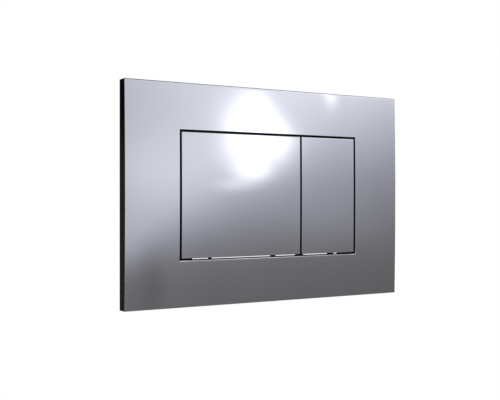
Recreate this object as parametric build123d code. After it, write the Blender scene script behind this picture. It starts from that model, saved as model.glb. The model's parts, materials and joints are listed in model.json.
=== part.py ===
"""Dual flush button plate for an in-wall cistern, in millimetres.

X runs to the right as the user sees the plate, Z runs up and Y runs into the wall. The wall plane is
Y = 0 and the origin is the middle of the plate in that plane.
"""

import os
from dataclasses import dataclass
from math import cos, radians, sin, sqrt

from build123d import *

# Cover plate
plate_width = 246.0
plate_height = 164.0
rim_depth = 9.0
crown = 1.0
face_wall = 2.5
rim_wall = 2.2
front_edge_radius = 0.5
rib_wall = 1.2
rib_spacing = 60.0
side_rib_z = 33.0

# Opening in the cover plate and the two buttons in it
opening_width = 160.6
opening_height = 95.7
button_gap = 1.7
button_side_gap = 1.75
full_cap_width = 103.95
collar_wall = 1.6
collar_stand_off = 4.6

# Button caps
cap_wall = 2.2
skirt_wall = 1.5
cap_edge_radius = 0.25
cap_hook_z = 30.0
cap_hook_inset = 13.0
cap_hook_width = 6.0
cap_hook_thickness = 1.8
cap_hook_barb = 0.9
cap_hook_barb_length = 1.7
cap_hook_clearance = 0.2

# Rockers that carry the caps
flange_depth = 2.0
flange_side_overhang = 2.35
flange_foot_overhang = 4.2
flange_divider_overhang = 0.4
flange_head_overhang = 0.95
locating_rib_wall = 1.2
locating_rib_height = 2.0
locating_clearance = 0.15
back_rib_wall = 1.4
back_rib_depth = 2.4
back_rib_inset = 3.0
rod_pad_width = 15.0
rod_pad_depth = 3.0
anvil_height = 6.0

# Feet of the rockers below the caps
end_foot_width = 14.0
divider_foot_width = 6.0
full_fin_inset = 25.45
full_fin_width = 2.5
full_foot_inset = 19.0
full_foot_width = 4.0
half_fin_inset = 15.95
half_fin_width = 5.6

# Rubber buffers between the rockers and the collar
buffer_depth = 0.8
buffer_height = 2.3
buffer_length = 9.0
buffer_margin = 0.4

# Hinges
hinge_rise = 0.8
hinge_y = 0.0
pin_radius = 1.5
pin_press_clearance = 0.02
pin_running_clearance = 0.08
pin_overhang = 0.5
knuckle_radius = 3.0
knuckle_length = 5.0
lug_length = 4.0
lug_inset = 1.9
hinge_side_clearance = 0.3
notch_clearance = 0.9
press_angle = 6.0

# Return springs, bent from flat strip
spring_width = 8.0
spring_thickness = 0.5
spring_inset = 7.0
spring_bend_z = 34.0
spring_bend_radius = 2.0
spring_toe_z = 24.0
spring_toe_length = 3.0
spring_toe_curl = 1.5
spring_hook_length = 2.2
spring_clearance = 0.05
spring_holder_wall = 2.0

# Button carrier
carrier_width = 212.0
carrier_height = 144.0
carrier_stand_off = 3.5
carrier_depth = 2.0
carrier_corner_radius = 6.0
window_clearance = 1.0
window_wall = 1.6
window_wall_back = 2.0
shield_depth = 0.9
shield_gap = 0.6
shield_top_lap = 2.4
stop_width = 9.0
stop_lip_depth = 2.5
stop_lip_rise = 2.3
stop_clearance = 0.4

# Screws that hold the carrier to the cover plate
screw_x = 98.0
screw_z = 64.0
screw_radius = 1.45
screw_length = 5.5
screw_head_radius = 2.8
screw_head_depth = 1.8
screw_hole_clearance = 0.25
thread_clearance = 0.02
post_width = 7.0
post_hole_margin = 0.4

# Mounting frame
frame_width = 208.0
frame_height = 140.0
frame_window_width = 173.0
frame_window_height = 111.0
frame_front = 4.0
frame_depth = 5.0
frame_corner_radius = 7.0
pocket_wall = 2.0
pocket_depth = 3.0
bridge_front = 20.4
bridge_depth = 5.0
bridge_height = 14.0
bridge_post_width = 6.0

# Snap legs between the carrier and the mounting frame
snap_x = 60.0
snap_z = 61.5
snap_width = 10.0
snap_thickness = 2.2
snap_barb = 1.5
snap_barb_length = 2.6
snap_clearance = 0.3

# Fixing studs
stud_x = 95.0
stud_radius = 4.0
stud_shank_radius = 3.5
stud_shank_front = 18.0
stud_end = 52.0
stud_head_radius = 8.5
stud_head_depth = 3.2
stud_slot_width = 1.6
stud_slot_depth = 1.5
stud_hole_clearance = 0.3
stud_hole_travel = 6.0
stud_nut_flats = 14.0
stud_nut_depth = 5.0
stud_tip_length = 5.0
stud_tip_flats = 5.0

# Push rods
rod_x = 45.0
rod_z = -18.0
rod_radius = 3.0
rod_end = 62.0
rod_pad_clearance = 0.3
rod_head_radius = 4.5
rod_head_length = 6.0
rod_dome_radius = 16.0
rod_socket_depth = 4.0
rod_nut_flats = 10.0
rod_nut_depth = 3.0
rod_collar_flats = 10.0
rod_collar_depth = 1.5
rod_end_clearance = 0.05
guide_radius = 7.0
guide_clearance = 0.08
guide_length = 9.0

# Depths that follow from the sizes above
front_middle = rim_depth + crown
crown_radius = ((plate_height / 2) ** 2 + crown**2) / (2 * crown)
collar_back = -collar_stand_off
flange_front = collar_back + buffer_depth
flange_back = flange_front + flange_depth
rib_back = flange_back + back_rib_depth
carrier_front = -carrier_stand_off
carrier_back = carrier_front + carrier_depth
frame_back = frame_front + frame_depth
bridge_back = bridge_front + bridge_depth
rod_tip = flange_back + rod_pad_depth + rod_pad_clearance
rod_head_back = rod_tip + rod_head_length
rod_nut_back = rod_head_back + rod_nut_depth
guide_back = bridge_front + guide_length

# Places that follow from the sizes above
cap_side = opening_width / 2 - button_side_gap
full_cap_right = full_cap_width - cap_side
cap_top = opening_height / 2 - button_gap
hinge_z = opening_height / 2 + hinge_rise
flange_foot = -cap_top - flange_foot_overhang
flange_head = cap_top + flange_head_overhang
notch_floor = hinge_z - knuckle_radius - notch_clearance
window_top = hinge_z + knuckle_radius + window_clearance
window_head = window_top + window_wall
window_foot = flange_foot - window_clearance
flange_side = cap_side + flange_side_overhang
window_side = flange_side + window_clearance
half_cap_left = full_cap_right + button_side_gap
half_flange_left = half_cap_left - flange_divider_overhang
full_fin_left = full_fin_inset - cap_side
full_foot_right = full_cap_right - full_foot_inset
half_fin_right = cap_side - half_fin_inset


@dataclass(frozen=True)
class Button:
    """One button: its cap edges, the overhangs and feet of its flange, its push rod, hooks and springs.

    The feet are spans in X. The first and the last carry a buffer and meet a stop.
    """

    name: str
    left: float
    right: float
    left_overhang: float
    right_overhang: float
    feet: tuple
    rod: float
    hooks: int
    springs: tuple


@dataclass(frozen=True)
class Hook:
    """A moulded leg with a barb that catches behind a wall."""

    width: float
    thickness: float
    barb: float
    barb_length: float
    clearance: float


full_button = Button(
    name="full_flush",
    left=-cap_side,
    right=full_cap_right,
    left_overhang=flange_side_overhang,
    right_overhang=flange_divider_overhang,
    feet=(
        (-flange_side, end_foot_width - flange_side),
        (full_fin_left, full_fin_left + full_fin_width),
        (full_foot_right - full_foot_width, full_foot_right),
    ),
    rod=-rod_x,
    hooks=3,
    springs=("left_spring", "right_spring"),
)
half_button = Button(
    name="half_flush",
    left=half_cap_left,
    right=cap_side,
    left_overhang=flange_divider_overhang,
    right_overhang=flange_side_overhang,
    feet=(
        (half_flange_left, half_flange_left + divider_foot_width),
        (half_fin_right - half_fin_width, half_fin_right),
        (flange_side - end_foot_width, flange_side),
    ),
    rod=rod_x,
    hooks=2,
    springs=("spring",),
)
buttons = (full_button, half_button)
cap_hook = Hook(cap_hook_width, cap_hook_thickness, cap_hook_barb, cap_hook_barb_length, cap_hook_clearance)
snap_hook = Hook(snap_width, snap_thickness, snap_barb, snap_barb_length, snap_clearance)


def block(x0, x1, y0, y1, z0, z1):
    """A box between two limits on each axis."""
    return Pos((x0 + x1) / 2, (y0 + y1) / 2, (z0 + z1) / 2) * Box(x1 - x0, y1 - y0, z1 - z0)


def round_y(x, z, radius, y0, y1):
    """A cylinder along Y."""
    return Pos(x, (y0 + y1) / 2, z) * Rot(X=90) * Cylinder(radius, y1 - y0)


def round_x(radius, x0, x1):
    """A cylinder along the hinge axis."""
    return Pos((x0 + x1) / 2, hinge_y, hinge_z) * Rot(Y=90) * Cylinder(radius, x1 - x0)


def panel(width, height, y0, y1, radius):
    """A flat plate with rounded corners, centred on the plate and seen along Y."""
    return Pos(Y=y1) * extrude(Plane.XZ * RectangleRounded(width, height, radius), y1 - y0)


def hexagon_y(x, z, flats, y0, y1):
    """A hexagonal prism along Y, measured across its flats."""
    outline = Plane.XZ * RegularPolygon(flats / 2, 6, major_radius=False)
    return Pos(x, y1, z) * extrude(outline, y1 - y0)


def profile_x(points, x, width):
    """A closed outline of Y and Z points, extruded along X about a middle."""
    outline = make_face(Polyline(points, close=True))
    return Pos(X=x - width / 2) * extrude(Plane.YZ * outline, width, dir=(1, 0, 0))


def front_y(z, inset=0.0):
    """Depth of the crowned front at a height, or of the surface a given inset behind it."""
    return -front_middle + crown_radius - sqrt((crown_radius - inset) ** 2 - z**2)


def crowned(x0, x1, z0, z1, inset, y_back):
    """A block whose front follows the crown of the plate."""
    middle = (z0 + z1) / 2
    low = (front_y(z0, inset), z0)
    high = (front_y(z1, inset), z1)
    arc = ThreePointArc(low, (front_y(middle, inset), middle), high)
    sides = Polyline(high, (y_back, z1), (y_back, z0), low)
    return Pos(X=x0) * extrude(Plane.YZ * make_face(arc + sides), x1 - x0, dir=(1, 0, 0))


def front_face(shape):
    """The crowned face of a cover or cap."""
    return shape.faces().sort_by(Axis.Y)[0]


def hook_leg(hook, x, z, root, catch):
    """A hook along Y whose barb points away from the plate's middle and catches at a given depth."""
    side = 1 if z > 0 else -1
    inner = abs(z) - hook.thickness / 2
    outer = abs(z) + hook.thickness / 2
    tip = catch + hook.barb_length
    points = [
        (root, inner),
        (root, outer),
        (catch, outer),
        (catch, outer + hook.barb),
        (tip, outer - hook.thickness / 3),
        (tip, inner),
    ]
    return profile_x([(y, side * height) for y, height in points], x, hook.width)


def hook_slot(hook, x, z, y0, y1):
    """The slot for a hook, with room on its inner side for the leg to bend as it is pushed in."""
    side = 1 if z > 0 else -1
    inner = abs(z) - hook.thickness / 2 - hook.barb - hook.clearance
    outer = abs(z) + hook.thickness / 2 + hook.clearance
    z0, z1 = sorted((side * inner, side * outer))
    half = hook.width / 2 + hook.clearance
    return block(x - half, x + half, y0, y1, z0, z1)


def spread(first, last, count):
    """Evenly spaced places from the first to the last."""
    return [first + i * (last - first) / (count - 1) for i in range(count)]


def corners(x, z):
    """The four places at a distance to either side of the middle, as X and Z."""
    return [(i * x, j * z) for j in (-1, 1) for i in (-1, 1)]


def hook_places(button):
    """Where the cap is hooked to its rocker, as X and Z."""
    across = spread(button.left + cap_hook_inset, button.right - cap_hook_inset, button.hooks)
    return [(x, z) for z in (-cap_hook_z, cap_hook_z) for x in across]


def foot_spans(button, widest, margin):
    """Spans in X, up to a width and clear of the edges, in the middle of a button's first and last foot."""
    spans = []
    for x0, x1 in (button.feet[0], button.feet[-1]):
        middle = (x0 + x1) / 2
        half = min(widest, x1 - x0 - 2 * margin) / 2
        spans.append((middle - half, middle + half))
    return spans


def lug_spans(button):
    """The carrier's two hinge lugs for a button, as spans in X."""
    left = button.left + lug_inset
    right = button.right - lug_inset
    return (left, left + lug_length), (right - lug_length, right)


def knuckle_spans(button):
    """The rocker's two hinge knuckles, as spans in X."""
    left = lug_spans(button)[0][1] + hinge_side_clearance
    right = lug_spans(button)[1][0] - hinge_side_clearance
    return (left, left + knuckle_length), (right - knuckle_length, right)


def spring_places(button):
    """The middle of each return spring along the hinge, by name."""
    reach = spring_inset + spring_width / 2
    left = knuckle_spans(button)[0][1] + reach
    right = knuckle_spans(button)[1][0] - reach
    if len(button.springs) == 1:
        return {button.springs[0]: (left + right) / 2}
    return dict(zip(button.springs, spread(left, right, len(button.springs))))


def cover_plate():
    """The moulded and plated cover: crowned face, rim, collar round the buttons, ribs and screw posts."""
    half_width = plate_width / 2
    half_height = plate_height / 2
    shell = crowned(-half_width, half_width, -half_height, half_height, 0, 0)
    shell = fillet(front_face(shell).edges(), front_edge_radius)
    inner_x = half_width - rim_wall
    inner_z = half_height - rim_wall
    shell -= crowned(-inner_x, inner_x, -inner_z, inner_z, face_wall, rim_depth)
    collar_x = opening_width / 2 + collar_wall
    collar_z = opening_height / 2 + collar_wall
    root = face_wall / 2
    half_rib = rib_wall / 2
    shell += crowned(-collar_x, collar_x, -collar_z, collar_z, root, collar_back)
    for side in (-1, 1):
        z0, z1 = sorted((side * collar_z, side * inner_z))
        for x in (-rib_spacing, 0, rib_spacing):
            shell += crowned(x - half_rib, x + half_rib, z0, z1, root, collar_back)
        x0, x1 = sorted((side * collar_x, side * inner_x))
        for z in (-side_rib_z, side_rib_z):
            shell += crowned(x0, x1, z - half_rib, z + half_rib, root, collar_back)
    hole_floor = carrier_back - screw_length - post_hole_margin
    half_post = post_width / 2
    for x, z in corners(screw_x, screw_z):
        shell += crowned(x - half_post, x + half_post, z - half_post, z + half_post, root, carrier_front)
        shell -= round_y(x, z, screw_radius + thread_clearance, hole_floor, carrier_front)
    opening_x = opening_width / 2
    opening_z = opening_height / 2
    shell -= block(-opening_x, opening_x, -2 * front_middle, 0, -opening_z, opening_z)
    return fillet(front_face(shell).inner_wires()[0].edges(), cap_edge_radius)


def button_cap(button):
    """A plated button cap: crowned face, skirt and the hooks that hold it to the rocker."""
    cap = crowned(button.left, button.right, -cap_top, cap_top, 0, flange_front)
    cap = fillet(front_face(cap).edges(), cap_edge_radius)
    inner_left = button.left + skirt_wall
    inner_right = button.right - skirt_wall
    inner_top = cap_top - skirt_wall
    cap -= crowned(inner_left, inner_right, -inner_top, inner_top, cap_wall, 0)
    for x, z in hook_places(button):
        catch = flange_back + cap_hook_clearance / 2
        cap += hook_leg(cap_hook, x, z, front_y(z, cap_wall / 2), catch)
    return cap


def hinge_knuckles(button):
    """The rocker's two hinge knuckles with the arms that join them to the flange."""
    knuckles = Part()
    for x0, x1 in knuckle_spans(button):
        arm_foot = notch_floor - knuckle_length
        knuckles += round_x(knuckle_radius, x0, x1)
        knuckles += block(x0, x1, flange_front, hinge_y + pin_radius, arm_foot, flange_head)
        knuckles -= round_x(pin_radius + pin_running_clearance, x0, x1)
    return knuckles


def rocker_ribs(button):
    """The stiffening ribs on the back of a rocker's flange."""
    left = button.left + back_rib_inset
    right = button.right - back_rib_inset
    top = notch_floor - back_rib_wall
    foot = back_rib_inset - cap_top
    wall = back_rib_wall
    ribs = block(left, right, flange_back, rib_back, foot, top)
    ribs -= block(left + wall, right - wall, flange_back, rib_back, foot + wall, top - wall)
    ribs += block(left, right, flange_back, rib_back, -wall / 2, wall / 2)
    across = [x for x, z in hook_places(button) if z > 0]
    for x0, x1 in zip(across, across[1:]):
        middle = (x0 + x1) / 2
        ribs += block(middle - wall / 2, middle + wall / 2, flange_back, rib_back, foot, top)
    return ribs


def locating_rib(button):
    """The rib on the front of a rocker that fits inside the cap's skirt."""
    inset = skirt_wall + locating_clearance
    left = button.left + inset
    right = button.right - inset
    top = cap_top - inset
    front = flange_front - locating_rib_height
    wall = locating_rib_wall
    rib = block(left, right, front, flange_front, -top, top)
    return rib - block(left + wall, right - wall, front, flange_front, wall - top, top - wall)


def rocker(button):
    """The rocker under a cap: flange with feet, ribs, rod pad, hinge knuckles and spring anvils."""
    left = button.left - button.left_overhang
    right = button.right + button.right_overhang
    body = block(left, right, flange_front, flange_back, -cap_top, flange_head)
    for x0, x1 in button.feet:
        body += block(x0, x1, flange_front, flange_back, flange_foot, -cap_top)
    for x0, x1 in lug_spans(button):
        gap = 2 * hinge_side_clearance
        body -= block(x0 - gap, x1 + gap, flange_front, flange_back, notch_floor, flange_head)
    body += locating_rib(button)
    body += rocker_ribs(button)
    body += hinge_knuckles(button)
    half_pad = rod_pad_width / 2
    pad_left = button.rod - half_pad
    pad_right = button.rod + half_pad
    pad_back = flange_back + rod_pad_depth
    body += block(pad_left, pad_right, flange_back, pad_back, rod_z - half_pad, rod_z + half_pad)
    for x in spring_places(button).values():
        x0 = x - spring_width / 2
        x1 = x + spring_width / 2
        z0 = spring_toe_z - anvil_height / 2
        body += block(x0, x1, flange_back, rib_back, z0, z0 + anvil_height)
    for x, z in hook_places(button):
        body -= hook_slot(cap_hook, x, z, flange_front, flange_back)
    return body


def buffers(button):
    """The rubber pads that meet the collar when the button springs back."""
    top = -opening_height / 2
    pads = []
    for x0, x1 in foot_spans(button, buffer_length, buffer_margin):
        pads.append(block(x0, x1, collar_back, flange_front, top - buffer_height, top))
    return Compound(children=pads)


def hinge_pin(button):
    """The steel pin that runs through both lugs and both knuckles of a button."""
    spans = lug_spans(button)
    return round_x(pin_radius, spans[0][0] - pin_overhang, spans[1][1] + pin_overhang)


def return_spring(x):
    """A leaf spring hooked over the head of the carrier's window, with its toe on the rocker's anvil."""
    lean = window_wall_back
    toe = rib_back + spring_clearance
    end = toe + spring_toe_curl
    end_z = spring_toe_z - spring_toe_length
    thick = spring_thickness
    points = [
        (lean - spring_hook_length, window_head),
        (lean, window_head),
        (lean, spring_bend_z),
        (toe, spring_toe_z),
        (end, end_z),
        (end + thick, end_z),
        (toe + thick, spring_toe_z),
        (lean + thick, spring_bend_z),
        (lean + thick, window_head + thick),
        (lean - spring_hook_length, window_head + thick),
    ]
    leaf = profile_x(points, x, spring_width)
    bends = leaf.edges().filter_by(Axis.X).filter_by_position(Axis.Z, spring_toe_z, spring_bend_z)
    return fillet(bends, spring_bend_radius)


def spring_holder(x):
    """The bridge on the carrier that keeps a return spring against the head of the window."""
    half = spring_width / 2 + spring_clearance
    back = window_wall_back + spring_thickness + spring_clearance
    outer = half + spring_holder_wall
    holder_back = back + spring_holder_wall
    holder = block(x - outer, x + outer, window_wall_back, holder_back, window_top, window_head)
    return holder - block(x - half, x + half, window_wall_back, back, window_top, window_head)


def hinge_lugs(button):
    """The hinge lugs that hang from the head of the carrier's window."""
    lugs = Part()
    for x0, x1 in lug_spans(button):
        front = hinge_y - knuckle_radius
        back = hinge_y + knuckle_radius
        lugs += block(x0, x1, front, back, hinge_z - knuckle_radius, window_head)
        lugs -= round_x(pin_radius + pin_press_clearance, x0, x1)
    return lugs


def press_stops(button):
    """The two ledges that the feet of a rocker meet at full press."""
    angle = radians(press_angle)
    reach = hinge_y + (flange_back - hinge_y) * cos(angle) + (hinge_z - flange_foot) * sin(angle)
    lip_front = reach + stop_clearance
    lip_back = lip_front + stop_lip_depth
    wall_foot = window_foot - window_wall
    stops = Part()
    for x0, x1 in foot_spans(button, stop_width, 0):
        stops += block(x0, x1, carrier_back, lip_back, wall_foot, window_foot)
        stops += block(x0, x1, lip_front, lip_back, wall_foot, window_foot + stop_lip_rise)
    return stops


def button_carrier():
    """The inner carrier: plate with a window, hinge lugs, light shield, press stops and snap legs."""
    body = panel(carrier_width, carrier_height, carrier_front, carrier_back, carrier_corner_radius)
    wall_side = window_side + window_wall
    wall_foot = window_foot - window_wall
    body += block(-wall_side, wall_side, carrier_back, window_wall_back, wall_foot, window_head)
    body -= block(-window_side, window_side, carrier_front, window_wall_back, window_foot, window_top)
    shield_foot = flange_head + shield_gap
    shield_front = carrier_front - shield_depth
    shield_head = window_top + shield_top_lap
    shield_side = opening_width / 2
    body += block(-shield_side, shield_side, shield_front, carrier_front, shield_foot, shield_head)
    for button in buttons:
        body += hinge_lugs(button)
        body += press_stops(button)
        for x in spring_places(button).values():
            body += spring_holder(x)
    for x, z in corners(snap_x, snap_z):
        body += hook_leg(snap_hook, x, z, carrier_back, frame_back + snap_clearance / 2)
    for x, z in corners(screw_x, screw_z):
        body -= round_y(x, z, screw_radius + screw_hole_clearance, carrier_front, carrier_back)
    return body


def carrier_screws():
    """The pan head screws that hold the carrier to the cover plate."""
    screws = []
    for x, z in corners(screw_x, screw_z):
        head = round_y(x, z, screw_head_radius, carrier_back, carrier_back + screw_head_depth)
        screws.append(head + round_y(x, z, screw_radius, carrier_back - screw_length, carrier_back))
    return Compound(children=screws)


def rail_pockets():
    """The moulded pockets in the back of the mounting frame's rails."""
    pockets = Part()
    floor = frame_back - pocket_depth
    rail_in = frame_window_height / 2 + pocket_wall
    rail_out = frame_height / 2 - pocket_wall
    post_in = frame_window_width / 2 + pocket_wall
    post_out = frame_width / 2 - pocket_wall
    leg_room = snap_width / 2 + snap_clearance + pocket_wall
    half_wall = pocket_wall / 2
    middle = (snap_x - leg_room) / 2
    spans = (
        (half_wall, middle - half_wall),
        (middle + half_wall, snap_x - leg_room),
        (snap_x + leg_room, post_in - pocket_wall),
    )
    for x0, x1 in spans:
        for z0, z1 in ((rail_in, rail_out), (-rail_out, -rail_in)):
            pockets += block(x0, x1, floor, frame_back, z0, z1)
            pockets += block(-x1, -x0, floor, frame_back, z0, z1)
    bridge_foot = rod_z - bridge_height / 2 - pocket_wall
    for z0, z1 in ((stud_nut_flats, rail_in - pocket_wall), (pocket_wall - rail_in, bridge_foot)):
        pockets += block(post_in, post_out, floor, frame_back, z0, z1)
        pockets += block(-post_out, -post_in, floor, frame_back, z0, z1)
    return pockets


def rod_bridge():
    """The bridge behind the rockers that guides both push rods."""
    inner = frame_window_width / 2
    outer = inner + bridge_post_width
    z0 = rod_z - bridge_height / 2
    z1 = rod_z + bridge_height / 2
    bridge = block(-outer, outer, bridge_front, bridge_back, z0, z1)
    bridge += block(inner, outer, frame_front, bridge_back, z0, z1)
    bridge += block(-outer, -inner, frame_front, bridge_back, z0, z1)
    for x in (-rod_x, rod_x):
        bridge += round_y(x, rod_z, guide_radius, bridge_front, guide_back)
        bridge -= round_y(x, rod_z, rod_radius + guide_clearance, bridge_front, guide_back)
    return bridge


def mounting_frame():
    """The frame fixed over the wall opening: rails, stud slots, snap slots and the bridge for the rods."""
    inner_x = frame_window_width / 2
    inner_z = frame_window_height / 2
    body = panel(frame_width, frame_height, frame_front, frame_back, frame_corner_radius)
    body -= block(-inner_x, inner_x, frame_front, frame_back, -inner_z, inner_z)
    body -= rail_pockets()
    body += rod_bridge()
    slot_width = 2 * (stud_radius + stud_hole_clearance)
    slot = Plane.XZ * Rot(Z=90) * SlotCenterToCenter(stud_hole_travel, slot_width)
    for x in (-stud_x, stud_x):
        body -= Pos(x, frame_back) * extrude(slot, frame_depth)
    for x, z in corners(snap_x, snap_z):
        body -= hook_slot(snap_hook, x, z, frame_front, frame_back)
    return body


def fixing_stud(x):
    """A fixing stud: slotted head, thread for the nut, and a shank with a flattened tip for the socket."""
    head_front = frame_front - stud_head_depth
    head = round_y(x, 0, stud_head_radius, head_front, frame_front)
    reach = 2 * stud_head_radius
    half_slot = stud_slot_width / 2
    head -= block(x - reach, x + reach, head_front, head_front + stud_slot_depth, -half_slot, half_slot)
    stud = head + round_y(x, 0, stud_radius, frame_front, stud_shank_front)
    stud += round_y(x, 0, stud_shank_radius, stud_shank_front, stud_end)
    half_tip = stud_tip_flats / 2
    for z0, z1 in ((half_tip, reach), (-reach, -half_tip)):
        stud -= block(x - reach, x + reach, stud_end - stud_tip_length, stud_end, z0, z1)
    return stud


def stud_nut(x):
    """The nut that clamps the mounting frame against the stud's head."""
    back = frame_back + stud_nut_depth
    nut = hexagon_y(x, 0, stud_nut_flats, frame_back, back)
    return nut - round_y(x, 0, stud_radius + thread_clearance, frame_back, back)


def push_rod(button):
    """A push rod with the hexagonal collar that rests on the back of its guide."""
    front = rod_head_back - rod_socket_depth + rod_end_clearance
    collar_front = guide_back + rod_end_clearance
    rod = round_y(button.rod, rod_z, rod_radius, front, rod_end)
    collar_back_face = collar_front + rod_collar_depth
    return rod + hexagon_y(button.rod, rod_z, rod_collar_flats, collar_front, collar_back_face)


def rod_head(button):
    """The domed head screwed on the front of a push rod."""
    head = round_y(button.rod, rod_z, rod_head_radius, rod_tip, rod_head_back)
    head &= Pos(button.rod, rod_tip + rod_dome_radius, rod_z) * Sphere(rod_dome_radius)
    socket_floor = rod_head_back - rod_socket_depth
    return head - round_y(button.rod, rod_z, rod_radius + thread_clearance, socket_floor, rod_head_back)


def rod_nut(button):
    """The lock nut behind the rod's head."""
    nut = hexagon_y(button.rod, rod_z, rod_nut_flats, rod_head_back, rod_nut_back)
    return nut - round_y(button.rod, rod_z, rod_radius + thread_clearance, rod_head_back, rod_nut_back)


def button_parts(button):
    """Every part that belongs to one button, by node name."""
    made = {
        "cap": button_cap(button),
        "rocker": rocker(button),
        "buffers": buffers(button),
        "hinge_pin": hinge_pin(button),
        "push_rod": push_rod(button),
        "rod_head": rod_head(button),
        "rod_nut": rod_nut(button),
    }
    for name, x in spring_places(button).items():
        made[name] = return_spring(x)
    return {f"{button.name}_{name}": shape for name, shape in made.items()}


parts = {
    "cover_plate": cover_plate(),
    "button_carrier": button_carrier(),
    "carrier_screws": carrier_screws(),
    "mounting_frame": mounting_frame(),
    "fixing_studs": Compound(children=[fixing_stud(-stud_x), fixing_stud(stud_x)]),
    "stud_nuts": Compound(children=[stud_nut(-stud_x), stud_nut(stud_x)]),
}
for each_button in buttons:
    parts.update(button_parts(each_button))

os.makedirs("parts", exist_ok=True)
for node, shape in parts.items():
    export_step(shape, f"parts/{node}.step")
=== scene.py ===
"""Looks of a dual flush button plate for an in-wall cistern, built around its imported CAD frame.

X runs to the right as the user sees the plate, Z runs up and Y runs into the wall, whose plane is Y = 0.
Every length that isn't named in millimetres is in metres.
"""

import json
import logging
import math
from collections import defaultdict
from dataclasses import dataclass
from enum import Enum, StrEnum
from typing import Callable, Iterable, Sequence

import bmesh
import bpy
from mathutils import Matrix, Vector

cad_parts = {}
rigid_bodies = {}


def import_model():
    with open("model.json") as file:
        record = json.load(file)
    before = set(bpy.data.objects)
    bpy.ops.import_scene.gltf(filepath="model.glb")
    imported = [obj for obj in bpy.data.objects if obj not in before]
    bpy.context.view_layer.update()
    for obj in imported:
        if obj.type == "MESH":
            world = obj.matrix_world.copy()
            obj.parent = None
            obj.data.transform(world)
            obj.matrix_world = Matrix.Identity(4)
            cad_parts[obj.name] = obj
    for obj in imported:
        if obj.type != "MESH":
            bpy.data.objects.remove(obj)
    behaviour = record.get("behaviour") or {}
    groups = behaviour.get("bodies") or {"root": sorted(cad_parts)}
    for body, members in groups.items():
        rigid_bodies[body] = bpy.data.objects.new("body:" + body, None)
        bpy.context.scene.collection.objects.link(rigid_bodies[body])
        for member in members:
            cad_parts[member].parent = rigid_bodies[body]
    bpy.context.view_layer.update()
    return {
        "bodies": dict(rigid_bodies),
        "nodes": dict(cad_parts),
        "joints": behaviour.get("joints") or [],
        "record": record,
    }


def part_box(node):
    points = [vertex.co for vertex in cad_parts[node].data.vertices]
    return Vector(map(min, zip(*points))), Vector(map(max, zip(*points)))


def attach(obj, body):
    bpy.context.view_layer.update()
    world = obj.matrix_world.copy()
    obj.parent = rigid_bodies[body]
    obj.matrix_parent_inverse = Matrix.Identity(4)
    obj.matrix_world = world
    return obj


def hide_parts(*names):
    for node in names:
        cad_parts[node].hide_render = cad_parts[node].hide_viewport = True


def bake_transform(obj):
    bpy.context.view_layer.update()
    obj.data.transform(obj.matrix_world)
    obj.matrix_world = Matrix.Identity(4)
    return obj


MM = 0.001
SMOOTH_ANGLE = math.radians(34)
TOUCH = 0.001 * MM
THREAD_SKIN = 0.1 * MM
WALL_UNIT = "wall_unit"
SEEN_RAYS = ("Is Camera Ray", "Is Glossy Ray", "Is Transmission Ray")

log = logging.getLogger("flush_plate")


def linear(hex_colour: str) -> tuple[float, float, float, float]:
    """Turns an sRGB hex colour into linear RGBA.

    Args:
        hex_colour: six hex digits after a hash.

    Returns:
        Red, green, blue and an alpha of one.
    """
    values = [int(hex_colour[i : i + 2], 16) / 255 for i in (1, 3, 5)]
    red, green, blue = [v / 12.92 if v <= 0.04045 else ((v + 0.055) / 1.055) ** 2.4 for v in values]
    return (red, green, blue, 1.0)


def add_node(
    tree: bpy.types.NodeTree, kind: str, settings: dict | None = None, inputs: dict | None = None
) -> bpy.types.Node:
    """Adds one node to a tree, with its settings, input values and links.

    Args:
        tree: the node tree that gets the node.
        kind: the node's type.
        settings: attributes of the node.
        inputs: for each input socket, by name or number, the socket to link or the value to set.

    Returns:
        The new node.
    """
    node = tree.nodes.new(kind)
    for key, value in (settings or {}).items():
        setattr(node, key, value)
    for key, value in (inputs or {}).items():
        if isinstance(value, bpy.types.NodeSocket):
            tree.links.new(value, node.inputs[key])
        else:
            node.inputs[key].default_value = value
    return node


def add_sums(tree: bpy.types.NodeTree, known: dict, sums: Iterable[tuple]) -> dict:
    """Adds a chain of sums to a tree as Math nodes.

    Args:
        tree: the node tree that gets the nodes.
        known: the sockets that the sums may use, by name.
        sums: for each sum its name, its operation, and operands that are names of earlier results or numbers.

    Returns:
        The sockets of all results, by name.
    """
    results = dict(known)
    for name, operation, *operands in sums:
        inputs = {i: results.get(v, v) for i, v in enumerate(operands)}
        node = add_node(tree, "ShaderNodeMath", {"operation": operation}, inputs)
        results[name] = node.outputs[0]
    return results


class Button(StrEnum):
    """The two buttons, named as in the CAD frame."""

    FULL = "full_flush"
    HALF = "half_flush"


class Combine(StrEnum):
    """How a tool changes a piece."""

    CUT = "DIFFERENCE"
    JOIN = "UNION"


class Making(Enum):
    """How a surface was made, which decides the pattern on it."""

    PLATED = "plated, with shallow waves"
    MOULDED = "moulded, with the pits of a spark-eroded mould"
    DRAWN = "drawn or rolled, with lines along the length"


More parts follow.
